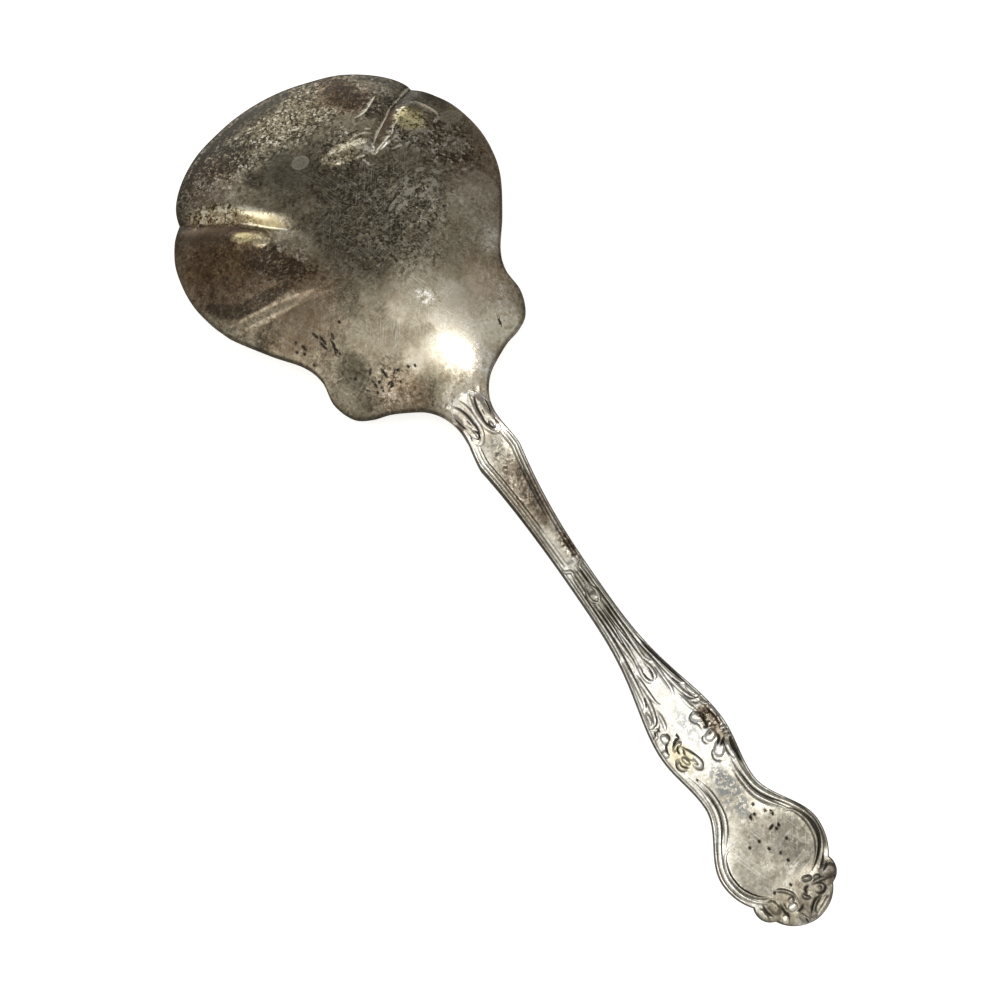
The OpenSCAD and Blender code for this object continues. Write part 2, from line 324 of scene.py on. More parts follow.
def crease(x, y):
    """Valleys that are sharp at the bottom: a wall on the front lobe, then a band that rises to a crest."""
    made = np.zeros(x.shape)
    for points, run_out, wall_w, deep, band_w, crest in CREASES:
        along, side, length = beside(x, y, resample(curve(points, LINE_STEPS), CREASE_POINTS))
        side = side * math.copysign(1, points[0][1])
        wall = -deep * np.maximum(0, 1 + side / wall_w) ** WALL_POWER
        band = mix(-deep, crest, 1 - (1 - np.clip(side / band_w, 0, 1)) ** BAND_POWER)
        lobe = crest * (1 - smooth((side - band_w) / CREST_FALL))
        shape = np.where(side < 0, wall, np.where(side < band_w, band, lobe))
        share = mix(CREASE_RIM_SHARE, 1, smooth(along / CREASE_FULL_AT))
        made = made + share * smooth((length - along) / run_out) * shape
    return made


STEP_X = 9.4
STEP_Y = 27
STEP_LEAN = 0.22
STEP_RUN = 2.6
SOFT_STEP_RUN = 12
PROUD_FROM = 12
PROUD_RUN = 10


def lobe_step(x, y):
    """Ahead of a short step the sides of the bowl stand proud of the waist; one side is rubbed soft."""
    far = np.abs(y)
    run = np.where(y < 0, STEP_RUN, SOFT_STEP_RUN)
    ahead = (STEP_X - STEP_LEAN * (far - STEP_Y) - x) / run + 0.5
    return STEP_H * smooth(ahead) * smooth((far - PROUD_FROM) / PROUD_RUN)


# Two folds that stand up, whose edges are painted bright too, partly rubbed clean and partly a painted
# highlight
LONG_FOLD = [(-27.4, 24.1), (-25.6, 22), (-24.1, 19.7), (-23.6, 18.1), (-23.7, 16.4)]
SHORT_FOLD = [(-11.7, 11.6), (-10.5, 12.1), (-9.5, 12.3)]
# Small wrinkles that the drawing left beside the creases, as (line, half width, height)
WRINKLES = [
    ([(-16.6, 4), (-16, 8), (-15.4, 11.4), (-14.6, 14), (-12.6, 14.6)], 2.8, 0.4),
    ([(-18.3, 12.2), (-18.6, 13.5), (-18.4, 15), (-17.2, 17.2)], 0.8, 0.16), (LONG_FOLD, 0.9, 0.26),
    ([(-11.4, 14.8), (-12.4, 17), (-13.4, 20), (-14.3, 21.7)], 0.8, 0.24),
    ([(-20, 28.6), (-16.8, 30.4), (-13, 32)], 3.4, 0.45), (SHORT_FOLD, 0.7, 0.1),
    ([(-12.4, -25.6), (-9.9, -22.6), (-6, -18)], 3, 0.42),
]
# Edges of folds painted bright, partly rubbed clean by wear and partly a painted highlight, as (line, half
# width)
BOWL_RUBBED_AND_LIT = [
    ([(-22.3, 25.4), (-20.1, 22.8), (-18.2, 20.5), (-17.1, 18.9), (-15.3, 16.9), (-14, 15.7)], 0.32),
    ([(-24.8, 30), (-23.6, 27.8), (-22.3, 25.4)], 0.2),
    ([(-26.6, 33.1), (-25.7, 31.4), (-24.8, 29.8)], 0.45),
    ([(-11.4, 15), (-12.2, 16.6), (-12.7, 18.1), (-13.6, 20), (-14.3, 21.7)], 0.4),
    ([(-11.8, 16.8), (-12.1, 18.7), (-12.6, 20.8), (-13.1, 22.5)], 0.36),
    ([(-11.6, 14.7), (-12.9, 14.3), (-14.1, 14), (-14.9, 12.7)], 0.6),
    ([(-12.1, 14.8), (-13.3, 15.3), (-14.6, 16)], 0.5),
    ([(-18.3, 12.2), (-18.6, 13.5), (-18.5, 14.8), (-17.9, 16), (-17.2, 17.2)], 0.4), (LONG_FOLD, 0.3),
    ([(-10.2, 19), (-10.1, 20.3), (-9.8, 21.6)], 0.34), (SHORT_FOLD, 0.34),
    ([(-19.2, 16.6), (-18.6, 17.6)], 0.34), ([(-19.2, 25), (-18.8, 25.2)], 0.6),
    ([(-20.4, 26.4), (-20, 26.8)], 0.5), ([(-20.4, 27.6), (-20.2, 28.2)], 0.5),
    ([(-14.6, -21), (-12.4, -18.9), (-10.5, -17.2), (-8.3, -15), (-6.4, -13)], 0.4),
]

LAP_BLEND = 3
BACK_TUCK = 0.03
# A faint ripple: its height, and two waves as (radians per mm along x, along y, radians at the middle)
RIPPLE_H = 0.035
RIPPLE_WAVES = [(0.31, 0, 0.8), (0.11, 0.27, 0.4)]


def bowl_back(x, y):
    """Height of the bowl's back, which runs out into the flat tongue under the lap."""
    drawn = dome(x, y) + crease(x, y) + lobe_step(x, y)
    for line, half, height in WRINKLES:
        drawn = drawn + ridge(x, y, line, half, height)
    ripple = RIPPLE_H
    for per_x, per_y, start in RIPPLE_WAVES:
        ripple = ripple * np.sin(per_x * x + per_y * y + start)
    ahead = np.minimum(x, LAP_X)
    tongue = lap_z(x) + dome(ahead, y) - dome(ahead, 0)
    return mix(drawn + ripple, tongue, smooth((x - LAP_X) / LAP_BLEND + 0.5)) - BACK_TUCK


TONGUE_RUN = 4


def sheet_at(x, y):
    """Thickness of the sheet, measured along z: it thins towards the rim, and is even in the tongue."""
    u = reach_share(np.hypot(x, y))
    slope = 2 * BOWL_DEPTH * u / (FRONT_R - FLAT_R)
    t = mix(SHEET_T, RIM_T, np.minimum(1, u)) * np.sqrt(1 + slope * slope)
    return mix(t, SHEET_T, smooth((x - TONGUE_X) / TONGUE_RUN + 1))


# Outline and heights of the handle

PETAL_OUT = 0.264 * TERMINAL_W
POINT_HALF = 0.33 * TERMINAL_W
TERMINAL_REACH = 1.36 * (PETAL_X - TERMINAL_X)
TIP_L = 5
STEM_BIAS = 0.5
SHOULDER_BIAS = 1.7


def handle_half(x):
    """Half width of the handle, from the round tip of its lap to the petals and the point at its end."""
    x = np.asarray(x, float)
    petal = np.where(np.abs(x - PETAL_X) < PETAL_R, PETAL_OUT + oval_half(x, PETAL_X, PETAL_R, PETAL_R), 0)
    end = np.maximum(petal, oval_half(x, PETAL_X, HANDLE_END - PETAL_X, POINT_HALF))
    end = np.maximum(end, oval_half(x, TERMINAL_X, TERMINAL_REACH, TERMINAL_W / 2))
    pieces = [
        oval_half(x, LAP_X + TIP_L, TIP_L, neck_half(LAP_X + TIP_L)),
        neck_half(x),
        mix(NECK_W, SWELL_W, swing(x, NARROW_X, SWELL_X)) / 2,
        mix(SWELL_W, STEM_W, swing(x, SWELL_X, STEM_X, STEM_BIAS)) / 2,
        mix(STEM_W, SHOULDER_W, swing(x, STEM_X, SHOULDER_X, SHOULDER_BIAS)) / 2,
        mix(SHOULDER_W, THROAT_W, swing(x, SHOULDER_X, THROAT_X)) / 2,
        mix(THROAT_W, TERMINAL_W, swing(x, THROAT_X, TERMINAL_X)) / 2,
        end,
    ]
    stops = [LAP_X + TIP_L, NARROW_X, SWELL_X, STEM_X, SHOULDER_X, THROAT_X, TERMINAL_X]
    return np.choose(np.searchsorted(stops, x, side="right"), pieces)


LAP_TOP = lap_z(LAP_END) - SHEET_T + NECK_T
NECK_SLOPE = -0.28
CREST_SLOPE = -0.04
SHOULDER_Z = 0.3 - CREST_DROP
END_Z = -1 - CREST_DROP
END_SLOPE = -0.06


def handle_z(x):
    """Height of the middle of the handle's back."""
    pieces = [
        cubic(x, LAP_X, lap_z(LAP_X), LAP_SLOPE, LAP_END, LAP_TOP, NECK_SLOPE),
        cubic(x, LAP_END, LAP_TOP, NECK_SLOPE, CREST_X, -CREST_DROP, CREST_SLOPE),
        cubic(x, CREST_X, -CREST_DROP, CREST_SLOPE, SHOULDER_X, SHOULDER_Z, 0),
        cubic(x, SHOULDER_X, SHOULDER_Z, 0, HANDLE_END, END_Z, END_SLOPE),
    ]
    return np.choose(np.searchsorted([LAP_END, CREST_X, SHOULDER_X], x, side="right"), pieces)


def handle_t(x):
    """Thickness of the handle."""
    ahead = mix(NECK_T, STEM_T, smooth((x - LAP_END) / (CREST_X - LAP_END)))
    behind = mix(STEM_T, TERMINAL_T, smooth((x - STEM_X) / (TERMINAL_X - STEM_X)))
    return np.where(x < STEM_X, ahead, behind)


# Struck ornament. Ridges are (line, half width, height) and dark struck lines are (line, half width).
# The first two lists lie on the +y side and the die holds each on both sides; the others stand as they are.

TWIN_RIDGES = [
    # Leaves of the neck
    ([(49.2, 3), (50, 1.6), (51.8, 0.85), (54, 0.5), (56.5, 0.45), (58.6, 0.6), (60.1, 1.1),
      (61, 2), (61, 3), (60.2, 3.6)], 0.44, 0.24),
    ([(50.2, 4.4), (51.8, 3.3), (53.6, 2.7), (55.6, 2.5), (57, 2.5)], 1, 0.22),
    ([(53.2, 4.3), (55, 3.5), (57, 3.1), (58.8, 3), (59.8, 2.6)], 0.65, 0.24),
    ([(58.2, 2.2), (59.2, 2), (60, 2.3)], 0.4, 0.36),
    # Collar
    ([(95.3, 2.9), (96, 2.2), (96.6, 1.3), (97.8, 0.95)], 0.34, 0.36),
    ([(96.6, 1.3), (100, 1.35), (102.2, 1.5), (103.4, 2)], 0.4, 0.32),
    ([(101.6, 0.5), (103.4, 1.15), (105, 1.05), (105.9, 0.5), (106.2, 0)], 0.36, 0.42),
    ([(97, 0.4), (101, 0.4)], 0.36, 0.28),
    # Scrolls of the stem
    ([(106.4, 0.4), (112, 0.45), (118, 0.5), (122.6, 0.65)], 0.4, 0.28),
    ([(122.4, 0.7), (125.4, 1.2), (127.3, 0.9), (128.1, 0)], 0.42, 0.38),
    ([(104, 1.55), (110, 1.4), (117, 1.4), (121.4, 1.25), (123, 1.6), (123.9, 2.3),
      (123.2, 2.9)], 0.42, 0.32),
    ([(98, 2.1), (106, 2.15), (112, 2.3), (117, 2.65), (119.3, 3.1), (120.2, 3.8)], 0.4, 0.32),
    ([(124.2, 2.5), (128, 2.45), (131.4, 2.4), (132.9, 1.9)], 0.42, 0.34),
    ([(120.6, 3), (125, 3.5), (129, 4.15), (131.2, 4.8), (131.9, 5.7)], 0.46, 0.36),
    ([(125.2, 3.1), (129.5, 3.4), (133.2, 4.05), (135.4, 4.9), (136.5, 5.9), (136.2, 6.9)], 0.46, 0.4),
    ([(132.4, 5.4), (134.4, 5.7), (135.6, 6.3)], 0.4, 0.34),
    ([(133.6, 3.1), (136.6, 3.5), (138.6, 4.2)], 0.4, 0.3),
    ([(136.9, 6.1), (138.2, 6.6), (138.5, 7.4)], 0.4, 0.34),
    # Scrolls of the terminal
    ([(149, 6), (152, 5.2), (156, 4.9), (159.4, 5.4), (162.6, 7), (165.6, 9.2), (168.6, 10.8),
      (172, 11.4), (175.6, 10.6), (178.4, 8.7), (180.2, 6.4)], 0.5, 0.34),
    ([(150.6, 4.4), (153.6, 3.75), (157, 3.65), (160.2, 4.2), (163, 5.7), (165.4, 7.5),
      (166.6, 8.3)], 0.42, 0.3),
    ([(166.4, 7.4), (167.2, 8.9), (169.4, 10), (172, 10.3), (175, 9.7), (177.6, 8),
      (179.4, 5.6)], 0.42, 0.4),
]
TWIN_LINES = [
    # Leaves of the neck
    ([(49.8, 3.6), (51, 2.5), (52.2, 1.9), (54, 1.4), (56, 1.3), (57.4, 1.15), (59, 1.5), (60.2, 2),
      (60.5, 2.8)], 0.27),
    ([(52.2, 4.4), (54, 4.05), (55.6, 3.75), (57, 3.2)], 0.2), ([(57.8, 3.5), (59.6, 3.75)], 0.16),
    ([(54.6, 2.25), (56.3, 2)], 0.14),
    ([(57.4, 2.3), (58.3, 1.75), (59.4, 1.8), (59.9, 2.5), (59.2, 3)], 0.2),
    # Scrolls of the stem
    ([(106.4, 0.2), (112, 0.2), (118, 0.75), (122, 0.95), (123.4, 1.6), (123.6, 2.2)], 0.17),
    ([(105, 0.95), (110, 0.95), (116, 0.98), (118.2, 0.95)], 0.2),
    ([(98, 1.72), (106, 1.8), (112, 1.86), (117, 2.05), (121, 2.5), (125, 3.05), (129, 3.75),
      (131.2, 4.4)], 0.22),
    ([(124.6, 2.05), (128, 2.05), (131.6, 2), (132.6, 1.6)], 0.14),
    ([(124.4, 0.8), (126.3, 0.72), (127.4, 0.2)], 0.2), ([(129.2, 3.8), (130.8, 4.2), (131.7, 4.9)], 0.2),
    ([(133.4, 3.6), (135.2, 4.3), (136, 5.2), (136, 6.4)], 0.2),
    ([(136, 4.3), (137, 5.1), (137.2, 6.2)], 0.17),
    # Scrolls of the terminal
    ([(152, 4.5), (156, 4.3), (159.2, 4.7), (162, 6), (164.6, 8), (166.2, 9.2)], 0.24),
    ([(152, 3.3), (156, 3.15), (160, 3.6), (163, 5), (165.6, 6.9)], 0.12),
]
RIDGES = [
    # Blossom of the +y shoulder
    ([(140.6, 4.4), (139.4, 3.2), (139.2, 2.6)], 1, 0.46),
    ([(144.2, 4.6), (144.8, 3.4), (144.9, 2.6)], 1, 0.46),
    ([(147, 4.6), (148.4, 3.2), (149.2, 2.5)], 1.15, 0.46),
    ([(138.4, 7), (141, 7.1), (143.6, 7.2)], 0.5, 0.3),
    ([(147.4, 6.2), (148.6, 5.4), (150.2, 5.2), (152, 5.3)], 0.55, 0.36),
    ([(144.6, 6.2), (144.9, 7.6)], 0.35, 0.4), ([(145.7, 6), (145.9, 7.7)], 0.35, 0.4),
    ([(146.9, 6.6), (147, 7.6)], 0.4, 0.4),
    # Blossom of the -y shoulder
    ([(143.4, -3.4), (145.2, -2.6), (147, -1.9), (148.4, -1.8), (148.9, -2.4), (148, -3)], 0.6, 0.44),
    ([(144.6, -3.4), (146.2, -3), (147.2, -2.7)], 0.4, 0.36),
    ([(145.4, -5.4), (146.5, -6), (147.5, -5.6), (147.9, -4.8)], 0.45, 0.42),
    ([(145.2, -4.4), (146.4, -4.2), (147.4, -3.8)], 0.45, 0.42),
    ([(139.2, -5.6), (140, -5.2), (140.6, -5.7)], 0.8, 0.44), ([(142, -7.1), (143.4, -6.9)], 0.6, 0.36),
    ([(142.5, -2.7), (142.5, -3.8), (143.2, -5.2)], 0.55, 0.42),
    # Flower at the end, +y side
    ([(181.4, 6.6), (181.8, 8.2), (182.2, 9)], 1.4, 0.42),
    ([(180.2, 2.2), (180.6, 3.2), (180.9, 4)], 0.5, 0.52), ([(181.3, 4.5), (181.5, 5.6)], 0.36, 0.5),
    ([(182, 3.4), (182.2, 5.2), (182.7, 7.2)], 0.32, 0.56),
    ([(183, 4.1), (183.2, 4.9), (184, 4.9), (184.3, 4)], 0.36, 0.5),
    ([(182.5, 0.5), (183.4, 0.5), (184.2, 1.5)], 0.3, 0.45),
    ([(185, 3.6), (185.4, 2), (186.2, 0.8), (187.4, -0.1)], 0.32, 0.5),
    ([(185.8, 5.4), (186.8, 4), (187.6, 2), (188, 0.6)], 0.7, 0.32),
    # Flower at the end, -y side
    ([(178.9, -4.4), (179.6, -3), (181, -1.7), (182.6, -0.95)], 0.3, 0.4),
    ([(183.6, -2.2), (183.7, -3.6)], 0.75, 0.5), ([(184.4, -5.4), (185.4, -5.8)], 0.75, 0.45),
    ([(182.2, -1.9), (182.4, -2.8)], 0.5, 0.42), ([(180.2, -6.6), (181.8, -6.2), (183, -6.2)], 1, 0.36),
    ([(180, -9), (181.8, -9.2), (183.4, -8.6)], 0.7, 0.32),
    ([(185.6, -2.4), (187, -2.2), (188, -1.4)], 0.7, 0.26),
]
LINES = [
    # Collar
    ([(96.8, 1), (99, 0.85), (102, 0.95)], 0.24),
    # Scrolls of the stem
    # A painted shadow: the wide dark line on the next line runs along the +y edge, struck a little into the
    # die too
    ([(117, 2.9), (121, 3.4), (125, 4.2), (129, 5.1), (132.5, 6)], 0.48),
    ([(137, -5.3), (138, -5.2)], 0.2), ([(137.2, -6.2), (138.4, -6.6)], 0.24),
    # Blossom of the +y shoulder
    ([(147, 7), (149, 6.4), (151, 6)], 0.5),
    ([(138.1, 4.3), (138.2, 3.3), (138.5, 2.5), (139.1, 1.95), (139.8, 1.9), (140.6, 2.3),
      (141.2, 2.75), (143, 2.75)], 0.17),
    ([(139.7, 3.7), (140, 4.2), (141.2, 4.4), (142.2, 4.3), (142.7, 4), (142.4, 3.5),
      (141.8, 3.6)], 0.32),
    ([(143.7, 2.8), (144, 1.9), (144.7, 1.55), (145.4, 1.7), (146, 2.2)], 0.16),
    ([(143.9, 4.2), (144.3, 3.4)], 0.2), ([(145, 5.2), (146, 4.9), (146.6, 4.3), (147.2, 3.5)], 0.34),
    ([(146.4, 6), (147.2, 5), (147.6, 3.9)], 0.34),
    ([(147, 3), (147.4, 2.2), (148, 1.6), (149, 1.3), (149.8, 1.5), (150.3, 2.1), (150.6, 3)], 0.17),
    ([(147, 5.9), (147.6, 5.1), (148.6, 4.75), (149.8, 4.6), (151.2, 4.8)], 0.18),
    ([(138.4, 6.3), (140, 6.5), (142, 6.8), (144, 6.6)], 0.26),
    ([(149.4, 6.5), (151, 6.2), (153, 5.9)], 0.34),
    # Blossom of the -y shoulder
    ([(138.9, -4.6), (139.5, -4.2), (140.2, -4.2), (140.8, -4.6)], 0.22),
    ([(141.6, -2.4), (141.3, -3.2), (141.7, -4), (142.2, -4.9)], 0.34),
    ([(140.2, -2.6), (141.4, -2.5)], 0.3),
    ([(141, -4.9), (141.2, -5.8), (141.9, -6.2), (143, -6.5)], 0.3),
    ([(142.8, -3.1), (144.2, -2.6), (145.6, -2), (146.6, -1.5), (147.8, -1.15), (148.8, -1.3),
      (149.6, -2), (149.4, -2.8), (148.4, -3.4), (147.6, -3.5), (146.9, -3.7)], 0.17),
    ([(142.6, -3.7), (143.4, -4.3), (144.4, -4.4)], 0.28), ([(143.6, -3.2), (145.2, -3.7)], 0.2),
    ([(145.1, -5), (145, -5.8), (146, -6.5), (147, -6.5), (147.9, -5.9), (148.3, -5)], 0.18),
    ([(145.9, -5.2), (146.6, -5.5), (147.3, -5), (148, -4.3)], 0.18),
    # Scrolls of the terminal
    ([(168.6, 10.4), (170.4, 11), (172.6, 11.2), (175, 10.5), (177.2, 8.8), (178.8, 6.9),
      (179.8, 5.1)], 0.38),
    ([(168.2, -9.3), (170, -9.9), (172.4, -10.1), (174.6, -9.7), (177, -8.4), (179, -6.8)], 0.22),
    # Flower at the end, +y side
    ([(178.2, 9.2), (179.4, 8.2), (180.4, 6.8)], 0.28), ([(180, 9), (180.8, 7.8), (181.2, 6.8)], 0.2),
    ([(183.1, 5.5), (184.2, 5.4), (184.7, 4.4), (184.4, 3.4), (183.6, 3)], 0.26),
    ([(182, 2.7), (182.1, 1.6), (183.3, 1.2)], 0.28),
    ([(184.8, 3.2), (185, 2), (185.8, 0.7), (187, -0.5)], 0.24),
    # Flower at the end, -y side
    ([(181.8, -4.8), (183.6, -4.9), (184.4, -4.6), (185.6, -4.9)], 0.25),
    ([(182, -4.1), (183.8, -4.2)], 0.16), ([(179.8, -8), (181.5, -8.1), (183.2, -7.5)], 0.25),
    ([(179.2, -4.1), (179.4, -4.7)], 0.28), ([(184.4, -0.6), (185, -1.6), (184.9, -2.8)], 0.24),
    ([(187, -1.8), (188.2, -2)], 0.18),
]
# Round bosses on the middle line, as (x, radius, height)
BOSSES = [(104.4, 1.05, 0.3), (187.2, 0.9, 0.3)]

# On the -y side the twins lie a little further back, fully so at this distance from the middle
TWIN_SKEW = 0.35
TWIN_SKEW_RUN = 2
RAISED_FLAT = 2
RELIEF_SHARE = 0.7
LINE_D = 0.16
LINE_DARK_AT = 0.45

# The groove along each edge, and the second one beside the panels
EDGE_GROOVE = 0.6
RAIL_GROOVE = 1.4
GROOVE_HALF = 0.16
GROOVE_D = 0.12
GROOVE_DARK = 0.8
GROOVE_FROM = LAP_END + 0.6
GROOVE_TO = PETAL_X - 5
GROOVE_RUN = 3
GROOVE_UNDER = 0.02

# The bare panel, deep at the neck and shallow from its end to the collar
PANEL_IN = 1.95
PANEL_WALL = 0.4
PANEL_D = 0.3
PANEL_FROM = LAP_END - 0.5
PANEL_RUN = 5
PANEL_END = 83.6
PANEL_END_RUN = 6
PANEL_SHALLOW = 0.25
COLLAR_X = 95.6
COLLAR_RUN = 1.4

# Places that lie this far below the ground around them turn dark: oxide in the hollows, and painted shade
# there too
RECESS_CELLS = 2
RECESS_FROM = 0.02
RECESS_RUN = 0.06

DIE_STEP = 0.1
DIE_X = np.arange(LAP_X - 2, HANDLE_END + 1, DIE_STEP)
DIE_Y = np.arange(-TERMINAL_W / 2 - 1, TERMINAL_W / 2 + 1, DIE_STEP)


def box_blur(field, cells):
    """Mean of the field over a square of 2 * cells + 1 cells, run twice to be smooth."""
    kernel = np.ones(2 * cells + 1) / (2 * cells + 1)
    for _ in range(2):
        for axis in (0, 1):
            field = np.apply_along_axis(np.convolve, axis, field, kernel, "same")
    return field


def strike():
    """Heights of the die on its grid, and how deep each place lies between higher ones, from 0 to 1."""
    x, y = np.meshgrid(DIE_X, DIE_Y, indexing="ij")
    far = np.abs(y)
    inward = handle_half(x) - far
    grooved = smooth((x - GROOVE_FROM) / GROOVE_RUN) * (1 - smooth((x - GROOVE_TO) / GROOVE_RUN))
    in_panel = smooth((x - PANEL_FROM) / PANEL_RUN) * (1 - smooth((x - COLLAR_X) / COLLAR_RUN + 1))
    grooves = np.maximum(
        grooved * np.exp(-(((inward - EDGE_GROOVE) / GROOVE_HALF) ** 2)),
        in_panel * np.exp(-(((inward - RAIL_GROOVE) / GROOVE_HALF) ** 2)),
    )
    deep = 1 - smooth((x - PANEL_END) / PANEL_END_RUN + 0.5)
    floor = in_panel * smooth((inward - PANEL_IN) / PANEL_WALL) * mix(PANEL_SHALLOW, 1, deep)
    twin_x = x - TWIN_SKEW * smooth(-y / TWIN_SKEW_RUN)
    raised = np.zeros(x.shape)
    for line, half, tall in TWIN_RIDGES:
        raised = np.maximum(raised, ridge(twin_x, far, line, half, tall, flat=RAISED_FLAT))
        if min(p[1] for p in line) < half:
            raised = np.maximum(raised, ridge(twin_x, -far, line, half, tall, flat=RAISED_FLAT))
    for line, half, tall in RIDGES:
        raised = np.maximum(raised, ridge(x, y, line, half, tall, flat=RAISED_FLAT))
    for middle, r, tall in BOSSES:
        raised = np.maximum(raised, tall / r * oval_half(np.hypot(x - middle, far), 0, r, r))
    struck = np.zeros(x.shape)
    for line, half in TWIN_LINES:
        struck = np.maximum(struck, ridge(twin_x, far, line, half))
    for line, half in LINES:
        struck = np.maximum(struck, ridge(x, y, line, half))
    grooves = grooves * (raised < GROOVE_UNDER)
    height = RELIEF_SHARE * raised - GROOVE_D * grooves - PANEL_D * floor - LINE_D * struck
    ground = box_blur(height, RECESS_CELLS)
    oxide_and_shade = np.clip((ground - height - RECESS_FROM) / RECESS_RUN, 0, 1)
    oxide_and_shade = np.maximum(oxide_and_shade, GROOVE_DARK * grooves)
    return box_blur(height, 1), np.maximum(oxide_and_shade, smooth(struck / LINE_DARK_AT))


DIE_HEIGHT, DIE_RECESS = strike()
DIE_INSIDE = 1.001


def read_die(field, x, y):
    """The field of the die at x, y, between its grid's points."""
    i = np.clip((x - DIE_X[0]) / DIE_STEP, 0, len(DIE_X) - DIE_INSIDE)
    j = np.clip((y - DIE_Y[0]) / DIE_STEP, 0, len(DIE_Y) - DIE_INSIDE)
    i0, j0 = i.astype(int), j.astype(int)
    fi, fj = i - i0, j - j0
    low = mix(field[i0, j0], field[i0, j0 + 1], fj)
    high = mix(field[i0 + 1, j0], field[i0 + 1, j0 + 1], fj)
    return mix(low, high, fi)


LAP_LINE = 0.15


def lap_edge(x, y):
    """Distance inside the outline of the handle's lap, below zero outside it."""
    return np.where(x < LAP_X, -1.0, handle_half(x) - np.abs(y))


def heel_relief(x, y):
    """The die's ornament where it runs out over the bowl, past the outline of the lap."""
    return read_die(DIE_HEIGHT, x, y) * smooth(1 - lap_edge(x, y) / LAP_LINE)


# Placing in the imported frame

def rest_frame():
    """The tilt and the shift from the design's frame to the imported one, from the bowl's flat and box."""
    mount = next(m for m in frame["record"]["mounts"] if m["name"] == "bowl_flat")
    normal, point = mount["axis"], mount["pos_m"]
    tilt = math.atan2(normal[0], normal[2])
    tip_z = float(bowl_back(np.array([-FRONT_R]), np.array([0.0]))[0] - RIM_T / 2)
    tip = -FRONT_R * math.cos(tilt) + tip_z * math.sin(tilt)
    shift_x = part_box("bowl")[0].x / MM - tip
    flat_x = (point[0] / MM - shift_x) / math.cos(tilt)
    return tilt, shift_x, point[2] / MM + flat_x * math.sin(tilt)


REST_TILT, REST_X, REST_Z = rest_frame()


def place(points):
    """Points of the design's frame, in millimetres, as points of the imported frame, in metres."""
    c, s = math.cos(REST_TILT), math.sin(REST_TILT)
    x, y, z = points[:, 0], points[:, 1], points[:, 2]
    rested = np.stack([x * c + z * s + REST_X, y, np.maximum(0, z * c - x * s + REST_Z)], axis=1)
    return rested * MM
